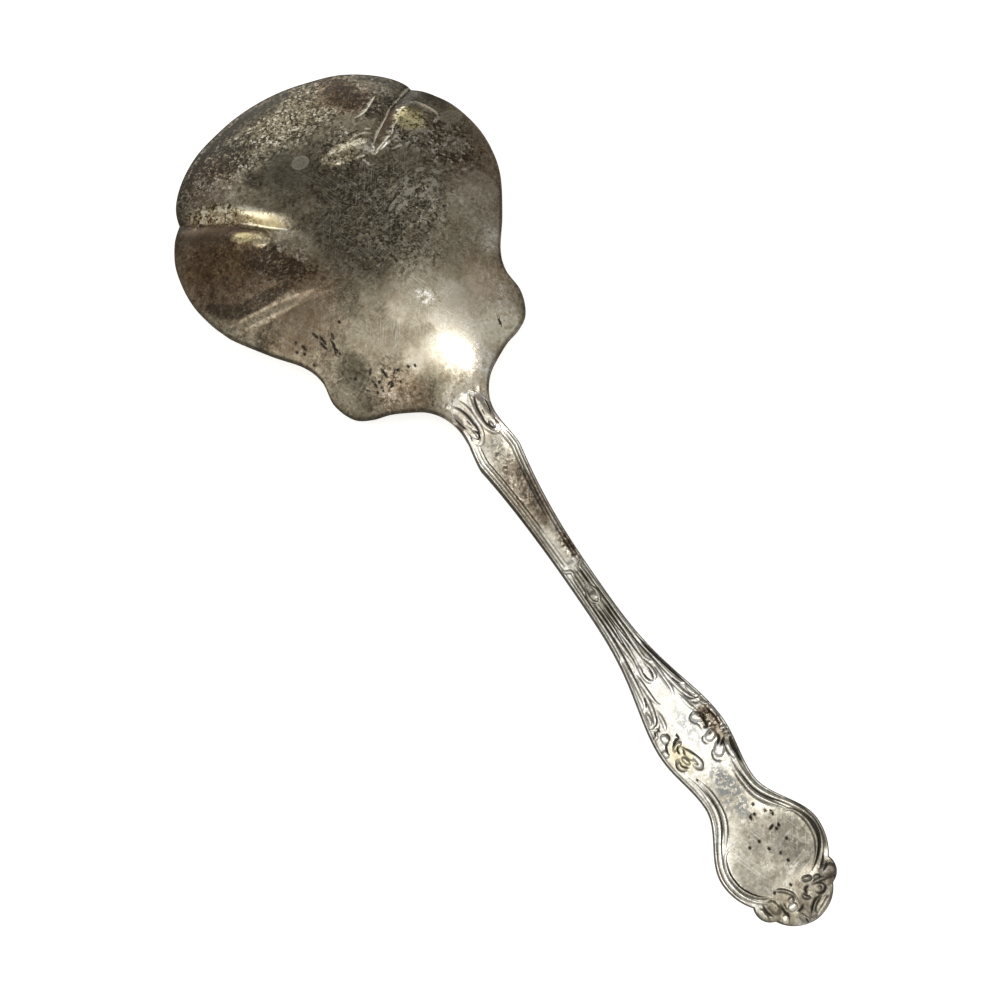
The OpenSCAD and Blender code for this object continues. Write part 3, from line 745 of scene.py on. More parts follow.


# Wear by mark, with some patches of painted light and shade noted below: an even amount, then patches laid
# over it in order as (amount, x, y, radius, radius, turn)

BOWL_WEAR_AND_LIGHT = {
    "film": (0.6, [
        (1, -35, -17, 10, 14, 20), (0.66, -40, -4, 8, 11), (0.95, -43.4, -5, 6, 17),
        (0.64, -37, 11, 8, 6), (0.56, -27, -25, 10, 9), (0.66, -26, 6, 9, 6, 20),
        (0.82, -24.4, 25, 6, 5, 50), (1, -32.5, 18, 9, 5.5, 15), (0.84, -2, 3, 28, 22),
        (0.82, -21, -6, 11, 7, 10), (0.72, 2, 19, 11, 9), (0.66, -3, 33, 16, 9, -8),
        (0.42, 13, 27, 11, 8, -30), (0.56, 19, 19, 9, 8), (0.82, -8, -30, 20, 13), (1, 0, -19, 13, 7, 38),
        (0.66, -2, -12.5, 7, 3, 35), (0.79, 15, -21, 11, 12, 20), (0.72, 24, -20, 8, 7),
        (0.28, 33, 19, 11, 7), (0.72, 37, -20, 9, 7), (0.58, 38, -12, 8, 6), (0.64, 27, -8, 13, 9, -20),
        # Painted light at the heel: on the next line the patches at 45.5, 8.5 and 41.2, 4.8 thin the film in
        # and beside the lamp's highlight, so it reads whiter and wider
        (0.57, 33, 0, 11, 9), (0.26, 38, 7, 13, 11), (0.22, 45.5, 8.5, 6, 5, 30), (0.16, 41.2, 4.8, 5, 5),
        (0.74, 45.5, -6, 6, 5), (0.24, 51, 0, 8, 8), (0.5, 23, 5, 8, 9), (0.4, 26.5, -1.6, 5, 4),
        (0.32, 29.4, 11, 5.4, 4.6), (0.62, 33.4, 1, 3, 2.6), (0.34, 37.5, -5, 4.5, 3.6),
        (0.4, 39.5, -13.8, 3.6, 3), (0.08, 40.6, 17, 6, 7.5), (0.3, 22, 26.5, 6, 3.4, -50),
        (0.92, 31.8, -18.4, 5.8, 5, -20), (0.56, 36.5, -23, 5, 3), (0.8, 17.5, -10.4, 6, 4, -20),
        (0.86, 13.5, -30.5, 4, 5, 15), (0.66, -8, -5.5, 4, 3), (0.8, 11, 15.6, 4, 3.4),
        (0.52, -1.8, -13.6, 9, 5.2, 26), (0.92, -22.5, -12.4, 4.5, 3.6, 20), (0.42, -25, -21.5, 6, 4, 30),
        # Painted shade: on the next line the patch at -22, 30 darkens the wall of the +y flute
        (0.5, -33.5, 1, 6, 4, 20), (0.98, -22, 30, 5, 3.6, -50), (0.8, -18.5, 36.5, 5, 3, 30),
        # Painted light and shade at the -y crease, from the patch at -16.6, -28.6 to the one at -6.6, -19.6:
        # the lighter patches are a highlight on its front wall and on the crest beyond, the darker ones at
        # -16.6, -28.6 and -13.2, -22.4 shade on the wall between
        (0.92, -22.4, 20.6, 2.6, 2.4), (0.84, -16.6, -28.6, 9, 3.6, 55), (0.3, -21.6, -26, 9.5, 2.8, 48),
        (0.5, -13.2, -16.8, 9, 3.2, 38), (0.44, -10.5, -15.8, 7, 2.4, 45),
        (0.07, -14.4, -16.8, 7.2, 1.7, 37), (0.05, -9.9, -22.6, 4.4, 2.2, 52),
        (0.92, -13.2, -22.4, 4.4, 1.4, 44), (0.2, -6.6, -19.6, 3.2, 2.6, 48),
        # Painted light and shade at the +y crease: on the next line the first two patches light the fold
        # beside the crease's end, and the patch at -18, 22.4 is shade on the flute's wall; the patches round
        # -16, 28 on the two lines after it are a painted highlight on the hump beyond
        (0.36, -16.2, 9.5, 3.4, 8, 5), (0.3, -15, 14.4, 3.4, 2.4), (0.94, -18, 22.4, 7.5, 2.3, -48),
        (0.24, 26.6, 5.2, 2.6, 2, 30), (0.14, -16, 27.2, 5.6, 4.8, 20), (0.02, -17.4, 29, 2, 1.3, 30),
        (0.05, -15.2, 26.6, 2.4, 1.4, -20), (0.02, -18.4, 26.4, 1.5, 1.2), (0.06, -14, 29, 1.5, 1.1),
    ]),
    "brown": (0.25, [
        (0.7, -31, -22, 9, 10), (0, -20, -6, 9, 7), (0.5, 7, -28, 6, 13, 10), (0.7, -2, 36, 22, 12, -8),
        (0.9, -33, 18, 12, 8, 15), (1, -10, -30, 21, 16), (0.9, 6, -18, 16, 9, 35),
        (0.6, 17, -24, 12, 13, 20), (0.9, 30, 20, 10, 7), (0.8, 43, -12, 9, 8),
        # The first patch on the next line browns the painted shade on the +y flute's wall
        (0.9, -18.4, 22.3, 8, 2.4, -48), (0.5, 53, 0, 8, 8),
    ]),
    "gold": (0, [
        # Gold also tints painted highlights: the patches at -16.2, 27.4, -20, -24.5, -12.5, -17, -6.8, -19,
        # -9.9, -22.6 and -16.2, 9.5 colour the creases' painted highlights yellow
        (1, -16.2, 27.4, 5.8, 5.2), (0.5, -20, -24.5, 11, 4, 45), (0.65, -12.5, -17, 9, 3, 38),
        (0.6, -6.8, -19, 3.4, 3, 50), (1, -9.9, -22.6, 4.4, 2.4, 52), (0.4, -9, -32, 12, 6, 60),
        (0.45, -16.2, 9.5, 3.6, 8, 5), (0.3, -36, 4, 12, 20), (0.4, 40.6, 17, 7, 8),
    ]),
    "speckle": (0.24, [
        (0.1, 29, 0, 20, 28), (0.9, -36, -4, 15, 44), (0.55, -33, 17, 9, 6, 15), (0.6, 4, 8, 22, 16),
        (0.85, 5, 17, 9, 9), (0.8, -6, 31, 14, 9), (0.12, -20, -5, 8, 6), (0.95, -21, -25.5, 11, 4, 48),
        (0.5, -13.2, -17, 8, 3, 38), (0.05, -10.5, -15.4, 5.5, 1.9, 29), (0.03, -17, -29, 9, 3.4, 55),
        (0.5, -9.9, -23.4, 4, 2, 52), (0.6, 1, -18, 10, 6, 35), (0.7, -25, 24, 7, 8, 40),
        (1, -15, 25, 7, 10, 40), (0.1, -18.4, 22.3, 7, 1.8, -48), (0.8, -17, 9, 8, 9),
        (0.08, 16, -22, 9, 11, 20), (0.06, 32, 1, 15, 13), (0.4, 40, -13, 9, 8),
        (0.45, 26.6, 5.4, 4, 3, 30), (0.5, -43.4, -5, 6, 18), (0.3, -22, 30.5, 4, 3.4, -50),
    ]),
    "glint": (0.1, [
        (0.8, 5, 12, 20, 20), (0.5, 12, -8, 12, 10), (0.5, 4, -24, 8, 12, 20), (0.6, 30, 2, 12, 11),
    ]),
    "scratch": (0.12, [
        (0.3, 28, -8, 10, 8, -30), (0.6, 30, 6, 13, 10), (0.5, 0, 8, 24, 22),
    ]),
    "worn": (0, []),
}
HANDLE_WEAR_AND_LIGHT = {
    "film": (0.18, [
        (0.58, 79, 0, 20, 9), (0.68, 72, 0.6, 15, 3.4), (0.9, 77, 1.2, 11, 2.4, -5),
        (0.34, 89, -0.6, 6, 1.8), (0.9, 91, 2, 4.6, 1.1, -4), (0.5, 105, 0, 11, 3.4),
        # Painted shade: the patch at 141.2, 5.4 on the next line and those at 150, 6.8 and 146, 5.6 on the
        # line after darken the +y side of the shoulder's blossom
        (0.18, 119, -0.6, 9, 3.4), (0.08, 135, 0, 17, 4.6), (0.72, 141.2, 5.4, 4.6, 2.4),
        (0.75, 150, 6.8, 4.4, 1.3, -12), (0.6, 146, 5.6, 2.4, 1.6), (0.46, 158, 0, 9, 5),
        (0.67, 171.5, 1, 12, 11), (0.78, 173, 6, 9, 6), (0.59, 174, -6, 7, 6), (0.66, 172, 11.4, 13, 2.4),
        (0.63, 183.5, 3, 6, 9), (0.62, 183, -6, 6, 5), (0.82, 182, 8.6, 3.6, 3.6),
        (0.66, 184, 4.2, 4, 3.4), (0.7, 186.4, -1, 2.4, 3), (0.8, 184.4, -0.6, 2.4, 1.6),
        (0.03, 183.6, -2.9, 1.8, 1.6), (0.03, 184.9, -5.7, 1.5, 1.2),
    ]),
    "brown": (0.05, [
        # The patch at 142.4, 5.6 on the next line browns the painted shade on the +y blossom
        (0.5, 55, 0, 9, 8), (0.5, 76, 0, 14, 5), (0.8, 92, 2, 6, 2), (0.7, 142.4, 5.6, 6, 3),
        (0.25, 183, 3, 7, 9),
    ]),
    "gold": (0, [
        (0.6, 145, -4.5, 5, 3.6), (0.3, 183, -5, 5, 5),
    ]),
    "speckle": (0.15, [
        (0.12, 172, 0, 13, 11), (0.16, 176, -3, 8, 8), (0.45, 72, 0, 12, 3), (0.7, 91, 1.8, 6, 2),
        (0.9, 141.4, 5.4, 5, 3), (0.05, 135, 0, 12, 4),
    ]),
    "glint": (0, []),
    "pale": (0, []),
    "scratch": (0.3, []),
    "worn": (0, [
        (1, 156.5, 0, 9, 3.4), (0.9, 149.2, 1.9, 1.6, 0.9), (0.5, 141, 0.4, 7, 2.2),
    ]),
}
# Even wear of the faces, which lie to the table
BOWL_FACE = {
    "film": 0.45, "brown": 0.2, "gold": 0, "speckle": 0.2, "glint": 0, "pale": 0, "scratch": 0.4, "pit": 0,
}
HANDLE_FACE = {"film": 0.22, "brown": 0.05, "gold": 0, "speckle": 0.15, "pit": 0, "worn": 0}

# Lines of darker and lighter film along the step, as (amount, line, half width); the lighter one is a
# painted highlight where the step's slope catches the light
STEP_FILM_AND_HIGHLIGHT = [
    (0.98, [(-1, -38), (2, -36), (4.6, -33), (5.8, -29.4), (6.4, -25), (6.9, -20)], 2.1),
    (0.55, [(7, -36.4), (8.5, -31.6), (9.5, -27.9), (9.9, -23.9), (10.2, -20.1), (10.5, -16.2)], 1.9),
]
# Dried water marks on the bowl, as (amount, x, y, radius, radius)
WATER_MARKS = [
    (0.85, -19.8, -1.2, 2, 2.2), (0.65, -12.6, 36.8, 2.2, 2.9), (0.45, -4, 32.8, 2.4, 2.8),
    (0.45, 8.8, 32, 4.4, 3.8), (0.5, 40.6, 14.4, 2, 2), (0.45, 38.2, 9, 3, 3.4), (0.3, 26, 5, 3, 5),
]
RING_AT = 0.85
RING_HALF = 0.14
RING_FILL = 0.6
RING_SOFT = 0.2
# Short pale smears on the bowl, as (line, half width)
SMEARS = [
    ([(2.2, 15.3), (2, 17.4)], 0.9), ([(4.5, 17.6), (4.8, 18.6)], 0.6),
    ([(1.5, 20.6), (2.3, 22.6), (3.6, 22.3), (4.6, 19.4)], 0.6),
    ([(5.2, 10.8), (4.2, 12.3), (3.8, 14.5)], 0.7), ([(3.4, 10), (2.1, 12.5)], 0.6),
    ([(-1.8, 20.7), (-1.4, 22.4)], 0.7), ([(0, 24), (1.6, 25)], 0.6),
    ([(-12.4, 25.6), (-11.6, 27.4), (-11.4, 29.2)], 0.5),
]
# Dark pits: round dots, each at the start of a very short line, and longer streaks
BOWL_DOTS = [
    (20.7, -14.9), (22.1, -25.5), (20.7, -26.8), (25.4, -25), (37.9, -7), (38.5, -5.6), (37, -14.5),
    (39.6, -10.4), (38.7, -16.1), (33.4, -18.8),
]
BOWL_STREAKS = [
    [(21.1, -20.4), (23.4, -20.2)], [(22.1, -17.8), (23.4, -18.1)],
    [(23.1, -18.7), (25, -18.9), (26.7, -19.6)], [(24.8, -19.1), (27.2, -18.7)],
    [(19.5, -21.4), (21.1, -21)], [(22.1, -21.1), (24.4, -20.7)], [(20.4, -25), (21.6, -24.7)],
    [(18.8, -25.7), (19.1, -25.9)], [(33.7, -14.6), (34.7, -15.5)], [(35.2, -12.6), (37.4, -12.4)],
    [(37.4, -10.7), (37.3, -9.1)], [(36, -15.8), (37.9, -15.6)],
    [(38.8, -13.2), (38.7, -12.2), (39.5, -12.5), (39.4, -13.2)], [(38.3, -14.7), (39.4, -14.9)],
    [(38.3, 17.5), (40.4, 17)],
]
HANDLE_DOTS = [
    (168.5, 3.8), (164.1, 4), (163.5, 1.6), (171.1, 0), (171.3, 4.4), (175.2, 2), (168.7, -0.9),
    (161.6, 2.6), (168.7, -3.4), (150.8, -4.5), (179.6, -0.6),
]
HANDLE_STREAKS = [
    [(164.8, 5), (165.9, 4.9)], [(168, 4.8), (168.8, 4.4)], [(167.7, 3.6), (167.8, 3.1), (168, 2.5)],
    [(163.4, 1), (163.8, 0.4), (164.4, 0.6)], [(173.1, 1.5), (173.4, 1.6)],
]
PIT_HALF = 0.4
DOT_L = 0.3

# Stain along the front rim with a lighter band at its very edge, partly a worn clean edge and partly a
# painted highlight; painted shade along the edges; and what rubbing and painted highlights do to the film
RIM_STAIN = 5.5
RIM_STAIN_SHARE = 0.5
STAIN_TO = -28
STAIN_RUN = 14
WORN_AND_LIT_RIM = 1.8
WORN_AND_LIT_SOFT = 0.4
WORN_AND_LIT_FILM = 0.85
WORN_AND_LIT_TO = -32
WORN_AND_LIT_RUN = 8
RUBBED_AND_LIT_CLEAN = 0.95
RUBBED_AND_LIT_GOLD = 0.35
EDGE_SHADE = 0.9
EDGE_LINE = 1.2
TONGUE_DARK = 0.4
TONGUE_DARK_RUN = 6
STRUCK_FROM = LAP_X - 1.5

# On the handle the bowl's film runs on over the neck, and the painted shade along the edge starts behind the
# lap's tip
NECK_FILM_TO = LAP_X + 3
NECK_FILM_RUN = 6
HANDLE_EDGE_IN = 0.1
HANDLE_EDGE = 0.3
HANDLE_EDGE_FROM = LAP_X + 4
HANDLE_EDGE_RUN = 2

PATCH_SOFT = 0.6
STROKE_END = 0.7
STROKE_FULL = 0.75


def oval(x, y, mid_x, mid_y, along, across, turn=0):
    """1 in the middle of an oval, which fades to 0 at its outline."""
    c, s = math.cos(math.radians(turn)), math.sin(math.radians(turn))
    dx, dy = x - mid_x, y - mid_y
    reach = np.hypot((dx * c + dy * s) / along, (dy * c - dx * s) / across)
    return smooth((1 - reach) / PATCH_SOFT)


def painted(x, y, start, patches):
    """The amount at x, y after each patch is laid over the ones before it."""
    amount = np.full(x.shape, float(start))
    for level, *place_and_size in patches:
        amount = mix(amount, level, oval(x, y, *place_and_size))
    return amount


def strokes(x, y, lines):
    """1 along the middle of short lines, given as (line, half width), and 0 past their sides."""
    made = np.zeros(x.shape)
    for line, half in lines:
        made = np.maximum(made, ridge(x, y, line, half, end=STROKE_END))
    return smooth(made / STROKE_FULL)


def pits(x, y, dots, streaks):
    short = [[(dot_x, dot_y), (dot_x + DOT_L, dot_y)] for dot_x, dot_y in dots]
    return strokes(x, y, [(line, PIT_HALF) for line in short + streaks])


def water_marks(x, y):
    """Rings that dried drops left, with a fainter stain inside each."""
    made = np.zeros(x.shape)
    for amount, mid_x, mid_y, along, across in WATER_MARKS:
        reach = np.hypot((x - mid_x) / along, (y - mid_y) / across)
        ring = np.exp(-(((reach - RING_AT) / RING_HALF) ** 2))
        made = np.maximum(made, amount * np.maximum(ring, RING_FILL * smooth((1 - reach) / RING_SOFT)))
    return made


def with_face(marks, on_face, even):
    """The marks of a back, with even amounts on its face."""
    return {name: np.where(on_face, even.get(name, amount), amount) for name, amount in marks.items()}


def bowl_marks(x, y, on_face):
    """Named amounts for the bowl's material at each point."""
    marks = {mark: painted(x, y, *wear_and_light) for mark, wear_and_light in BOWL_WEAR_AND_LIGHT.items()}
    inward = to_rim(x, y)
    film = marks["film"]
    for amount, line, half in STEP_FILM_AND_HIGHLIGHT:
        film = mix(film, amount, strokes(x, y, [(line, half)]))
    stain = (1 - smooth(inward / RIM_STAIN)) * (1 - smooth((x - STAIN_TO) / STAIN_RUN))
    # Fold edges painted bright: partly rubbed clean by wear, partly a painted highlight, with a little gold
    rubbed = strokes(x, y, BOWL_RUBBED_AND_LIT)
    film = (film + RIM_STAIN_SHARE * stain) * (1 - RUBBED_AND_LIT_CLEAN * rubbed)
    # A lighter band along the front rim: partly a worn clean edge, partly a painted highlight of the rounded
    # rim
    worn_and_lit_rim = (1 - smooth((inward - WORN_AND_LIT_RIM) / WORN_AND_LIT_SOFT)) * (1 - smooth((x - WORN_AND_LIT_TO) / WORN_AND_LIT_RUN))
    # Painted shade: a dark line along the rim and beside the neck, where the rounded edge would otherwise
    # reflect the bright floor
    beside_neck = np.where(x > HEEL_CORNER, neck_half(x) - np.abs(y), inward)
    rim_shade = EDGE_SHADE * (1 - smooth(np.minimum(inward, beside_neck) / EDGE_LINE))
    rim_shade = rim_shade * mix(1, TONGUE_DARK, smooth((x - LAP_X) / TONGUE_DARK_RUN))
    struck = np.where(on_face | (x < STRUCK_FROM), 0, read_die(DIE_RECESS, x, y))
    marks["film"] = mix(film, WORN_AND_LIT_FILM, worn_and_lit_rim)
    marks["gold"] = np.maximum(marks["gold"], RUBBED_AND_LIT_GOLD * rubbed)
    marks["pale"] = np.maximum(water_marks(x, y), strokes(x, y, SMEARS))
    marks["pit"] = pits(x, y, BOWL_DOTS, BOWL_STREAKS)
    marks["oxide_and_shade"] = np.maximum(struck, rim_shade)
    return with_face(marks, on_face, BOWL_FACE)


def handle_marks(x, y, on_face):
    """Named amounts for the handle's material at each point."""
    marks = {mark: painted(x, y, *wear_and_light) for mark, wear_and_light in HANDLE_WEAR_AND_LIGHT.items()}
    on_neck = 1 - smooth((x - NECK_FILM_TO) / NECK_FILM_RUN)
    inward = np.minimum(handle_half(x) - np.abs(y), HANDLE_END - x)
    # Painted shade along the handle's edges, where the rounded edge would otherwise reflect the bright floor
    edge = 1 - smooth((inward - HANDLE_EDGE_IN) / HANDLE_EDGE)
    edge = edge * smooth((x - HANDLE_EDGE_FROM) / HANDLE_EDGE_RUN)
    marks["film"] = mix(marks["film"], painted(x, y, *BOWL_WEAR_AND_LIGHT["film"]), on_neck)
    marks["pit"] = pits(x, y, HANDLE_DOTS, HANDLE_STREAKS)
    marks["oxide_and_shade"] = np.maximum(read_die(DIE_RECESS, x, y), EDGE_SHADE * edge)
    return with_face(marks, on_face, HANDLE_FACE)


def seam_marks(x, y, on_face):
    """None: the solder's material reads no marks."""
    return {}


# Meshes

def ring_faces(rings, count):
    """Four-sided faces between closed rings that follow each other, each of count points."""
    i, j = np.meshgrid(np.arange(rings - 1), np.arange(count), indexing="ij")
    a = (i * count + j).ravel()
    b = (i * count + (j + 1) % count).ravel()
    return np.stack([a, b, b + count, a + count], axis=1).tolist()


def make_piece(name, rings, on_face, marks, node):
    """A closed piece over rings of points, with a fan over each end ring, that stands for a CAD node."""
    count = rings.shape[1]
    ends = np.stack([rings[0].mean(axis=0), rings[-1].mean(axis=0)])
    points = np.concatenate([rings.reshape(-1, 3), ends])
    first, last = len(points) - 2, len(points) - 1
    final = (len(rings) - 1) * count
    faces = ring_faces(len(rings), count)
    faces += [[(j + 1) % count, j, first] for j in range(count)]
    faces += [[final + j, final + (j + 1) % count, last] for j in range(count)]
    mesh = bpy.data.meshes.new(name)
    mesh.from_pydata(place(points), [], faces)
    mesh.shade_smooth()
    mesh.attributes.new("plan", "FLOAT_VECTOR", "POINT").data.foreach_set("vector", points.ravel())
    on_face = np.broadcast_to(on_face, rings.shape[:2])
    on_face = np.append(on_face.ravel(), [on_face[0].all(), on_face[-1].all()])
    for mark, amount in marks(points[:, 0], points[:, 1], on_face).items():
        mesh.attributes.new(mark, "FLOAT", "POINT").data.foreach_set("value", amount)
    piece = bpy.data.objects.new(name, mesh)
    bpy.context.scene.collection.objects.link(piece)
    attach(piece, "root")
    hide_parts(node)
    return piece


RIM_POINTS = 1000
BACK_RINGS = 220
FACE_RINGS = 60
EDGE_RINGS = 5
EDGE_ROUND = 0.6
CENTRE_R = 0.3
RIM_TUCK = 0.998


def bowl_rings():
    """Rings from the middle of the back out to the rim, round its edge and in again over the face."""
    half = resample(HALF_RIM, RIM_POINTS // 2) * [1, RIM_TUCK]
    mirrored = half[::-1][:-1] * [1, -1]
    rim = np.concatenate([half, mirrored])
    reach = np.linalg.norm(rim, axis=1)[:, None]
    toward = rim / reach

    def ring(share, to_z):
        flat = toward * mix(CENTRE_R, reach - EDGE_ROUND, share)
        return np.column_stack([flat, to_z(flat[:, 0], flat[:, 1])])

    def top(x, y):
        return bowl_back(x, y) + heel_relief(x, y)

    def face(x, y):
        return bowl_back(x, y) - sheet_at(x, y)

    back = [ring(share, top) for share in np.linspace(0, 1, BACK_RINGS)]
    edge = []
    for turn in np.linspace(0, 180, EDGE_RINGS + 2)[1:-1]:
        out = math.sin(math.radians(turn))
        up = math.cos(math.radians(turn))
        flat = toward * (reach - EDGE_ROUND * (1 - out))
        t = sheet_at(flat[:, 0], flat[:, 1])
        edge.append(np.column_stack([flat, bowl_back(flat[:, 0], flat[:, 1]) - t * (1 - up) / 2]))
    inner = [ring(share, face) for share in np.linspace(1, 0, FACE_RINGS)]
    return np.array(back + edge + inner)


ROW_STEP = 0.16
END_ROWS = 24
END_RUN = 2
END_STEP = 0.2
END_GAP = 0.004
BACK_COLUMNS = 160
FACE_COLUMNS = 90
COLUMN_CROWD = 0.6


def handle_rows():
    """Places along the handle, closer together at its two round ends."""
    round_in = (1 - np.cos(np.linspace(0, math.pi / 2, END_ROWS))) * END_RUN
    middle = np.arange(LAP_X + END_RUN + END_STEP, HANDLE_END - END_RUN - END_STEP, ROW_STEP)
    return np.concatenate([LAP_X + END_GAP + round_in, middle, HANDLE_END - END_GAP - round_in[::-1]])


def columns(count):
    """Places across the handle from 1 to -1, closer together at the edges."""
    even = np.linspace(1, -1, count)
    return mix(even, np.sin(even * math.pi / 2), COLUMN_CROWD)


SEAM_SHARE = 0.5
SEAM_LEAST = 0.01
SEAM_RUN = 0.5
LAP_SHOULDER = 0.4
SUNK = 0.03


def seam_t(x, y):
    """Thickness of the solder over the lap, which runs out with the lap towards its tip."""
    rise = handle_z(x) - bowl_back(x, y)
    return np.clip(SEAM_SHARE * rise, SEAM_LEAST, SOLDER_T) * smooth(lap_edge(x, y) / SEAM_RUN)


def underside(x, y, inward, low):
    """Height under the handle: its free face, and over the lap the solder, a little lower at the edge."""
    if x[0] > LAP_END + LAP_SHOULDER:
        return np.full(y.shape, low)
    sunk = SUNK * (1 - smooth(inward / SEAM_RUN))
    return mix(low, bowl_back(x, y) + seam_t(x, y) - sunk, 1 - smooth((x - LAP_END) / LAP_SHOULDER))


EDGE_R = 0.4
EDGE_SHARE = 0.42
LEAST_T = 0.02
CROWN = 0.3
FEATHER = 2.4
FREE_FROM = LAP_X + 4
FREE_RUN = 4
RELIEF_FADE = 0.22
FACE_RELIEF = 0.75


def edge_drop(inward, r):
    """How far a round edge of radius r lies below the flat inside it."""
    return r * (1 - np.sqrt(1 - np.clip(1 - inward / r, 0, 1) ** 2))


def handle_back(x, w, top, low):
    """Points across the back from +y to -y: crowned, round at its edges, and flush at the lap's tip."""
    y = w * columns(BACK_COLUMNS)
    xs = np.full(y.shape, x)
    inward = w - np.abs(y)
    free = smooth((x - FREE_FROM) / FREE_RUN)
    t = np.maximum(LEAST_T, top - underside(xs, y, inward, low))
    crowned = top - CROWN * (y / max(w, 1)) ** 2
    rounded = crowned - edge_drop(inward, np.minimum(EDGE_R, EDGE_SHARE * t))
    seat = bowl_back(xs, y) if free < 1 else rounded
    flush = mix(seat, np.maximum(seat, crowned), smooth(inward / FEATHER))
    relief = read_die(DIE_HEIGHT, xs, y) * mix(1, smooth(inward / RELIEF_FADE), free)
    return np.column_stack([xs, y, mix(flush, rounded, free) + relief])


def handle_face(x, w, top, low):
    """Points across the face from -y to +y, with the back's relief, a little shallower."""
    y = w * columns(FACE_COLUMNS)[::-1]
    xs = np.full(y.shape, x)
    inward = w - np.abs(y)
    relief = FACE_RELIEF * read_die(DIE_HEIGHT, xs, y) * smooth(inward / RELIEF_FADE)
    rounded = low + edge_drop(inward, min(EDGE_R, EDGE_SHARE * (top - low))) - relief
    lapped = 1 - smooth((x - LAP_END) / LAP_SHOULDER)
    return np.column_stack([xs, y, mix(rounded, underside(xs, y, inward, low), lapped)])


def handle_rings():
    """Sections of the handle: across the back from +y to -y, and across the face to +y again."""
    rings = []
    for x in handle_rows():
        w, top = float(handle_half(x)), float(handle_z(x))
        low = top - float(handle_t(x))
        rings.append(np.concatenate([handle_back(x, w, top, low), handle_face(x, w, top, low)]))
    return np.array(rings)


SEAM_IN = 0.4
SEAM_ROWS = 40
SEAM_COLUMNS = 24
SEAM_EDGE_T = 0.005


def seam_rings():
    """Sections of the solder that fills the lap, between the bowl's tongue and the handle."""
    rings = []
    for x in np.linspace(LAP_X + SEAM_IN, LAP_END, SEAM_ROWS):
        y = (float(handle_half(x)) - SEAM_IN) * np.linspace(1, -1, SEAM_COLUMNS)
        xs = np.full(y.shape, x)
        low = bowl_back(xs, y)
        top = low + np.maximum(SEAM_EDGE_T, seam_t(xs, y))
        rings.append(np.concatenate([np.column_stack([xs, y, top]), np.column_stack([xs, y, low])[::-1]]))
    return np.array(rings)


# Materials

class Nodes:
    """Short calls that build the nodes of a material or a world."""

    def __init__(self, owner):
        owner.use_nodes = True
        self.tree = owner.node_tree

    def put(self, socket, value):
        """Link an output to a socket, or give the socket a value."""
        if isinstance(value, bpy.types.NodeSocket):
            self.tree.links.new(value, socket)
        elif socket.type == "RGBA" and len(value) == 3:
            socket.default_value = (*value, 1)
        else:
            socket.default_value = value

    def set(self, node, inputs):
        """Give inputs of a node that the tree starts with their values or links."""
        for name, value in inputs.items():
            self.put(self.tree.nodes[node].inputs[name], value)

    def node(self, kind, output, inputs, **settings):
        """An output of a new node with these settings, and inputs that are values or other outputs."""
        made = self.tree.nodes.new("ShaderNode" + kind)
        for name, value in settings.items():
            setattr(made, name, value)
        for name, value in inputs.items():
            self.put(made.inputs[name], value)
        return made.outputs[output]

    def mark(self, name):
        return self.node("Attribute", "Fac", {}, attribute_name=name)

    def plan(self, scale=(1, 1, 1), turn=0.0):
        """The design's own millimetres, turned about z and then scaled."""
        flat = self.node("Attribute", "Vector", {}, attribute_name="plan")
        flat = self.node("Mapping", "Vector", {"Vector": flat, "Rotation": (0, 0, math.radians(turn))})
        return self.node("Mapping", "Vector", {"Vector": flat, "Scale": scale})

    def noise(self, vector, scale, detail=3.0, rough=0.55):
        inputs = {"Vector": vector, "Scale": scale, "Detail": detail, "Roughness": rough}
        return self.node("TexNoise", "Fac", inputs)

    def cells(self, vector, scale):
        """A random value for each small cell, and the distance from its middle."""
        away = self.node("TexVoronoi", "Distance", {"Vector": vector, "Scale": scale})
        return self.node("SeparateColor", "Red", {"Color": away.node.outputs["Color"]}), away

    def math(self, operation, a, b):
        return self.node("Math", 0, {0: a, 1: b}, operation=operation)

    def times(self, a, b):
        return self.math("MULTIPLY", a, b)

    def more(self, a, b, share, clamp=False):
        """a and a share of b added to it."""
        return self.node("Math", 0, {0: b, 1: share, 2: a}, operation="MULTIPLY_ADD", use_clamp=clamp)

    def sway(self, a, b, share, clamp=False):
        """a and a share of what b lies above or below one half."""
        return self.more(a, self.math("SUBTRACT", b, 0.5), share, clamp)

    def between(self, value, start, full):
        """0 at start, 1 at full and smooth between them."""
        inputs = {"Value": value, "From Min": start, "From Max": full}
        return self.node("MapRange", "Result", inputs, interpolation_type="SMOOTHSTEP")

    def ramp(self, value, colours):
        """Colour at a value from 0 to 1 along colours in even steps."""
        made = self.node("ValToRGB", "Color", {"Fac": value})
        stops = made.node.color_ramp.elements
        stops[0].color = (*colours[0], 1)
        stops[1].color = (*colours[-1], 1)
        for k in range(1, len(colours) - 1):
            stops.new(k / (len(colours) - 1)).color = (*colours[k], 1)
        return made

    def blend(self, share, a, b, kind="MIX"):
        inputs = {"Factor": share, "A": a, "B": b}
        return self.node("Mix", "Result", inputs, data_type="RGBA", blend_type=kind)


SHADER = "Principled BSDF"
WHITE = (1, 1, 1)
SILVER = (0.94, 0.925, 0.88)
# Colours of the film from none to the most of it, in even steps
GREY_FILM = [SILVER, (0.58, 0.54, 0.44), (0.33, 0.297, 0.215), (0.165, 0.149, 0.104), (0.052, 0.048, 0.034)]
BROWN_FILM = [SILVER, (0.57, 0.48, 0.37), (0.33, 0.25, 0.165), (0.158, 0.105, 0.063), (0.054, 0.035, 0.021)]
COOL_FILM = [SILVER, (0.58, 0.553, 0.475), (0.33, 0.308, 0.25), (0.165, 0.153, 0.122), (0.065, 0.061, 0.049)]
GOLD_TINT = (1, 0.9, 0.55)
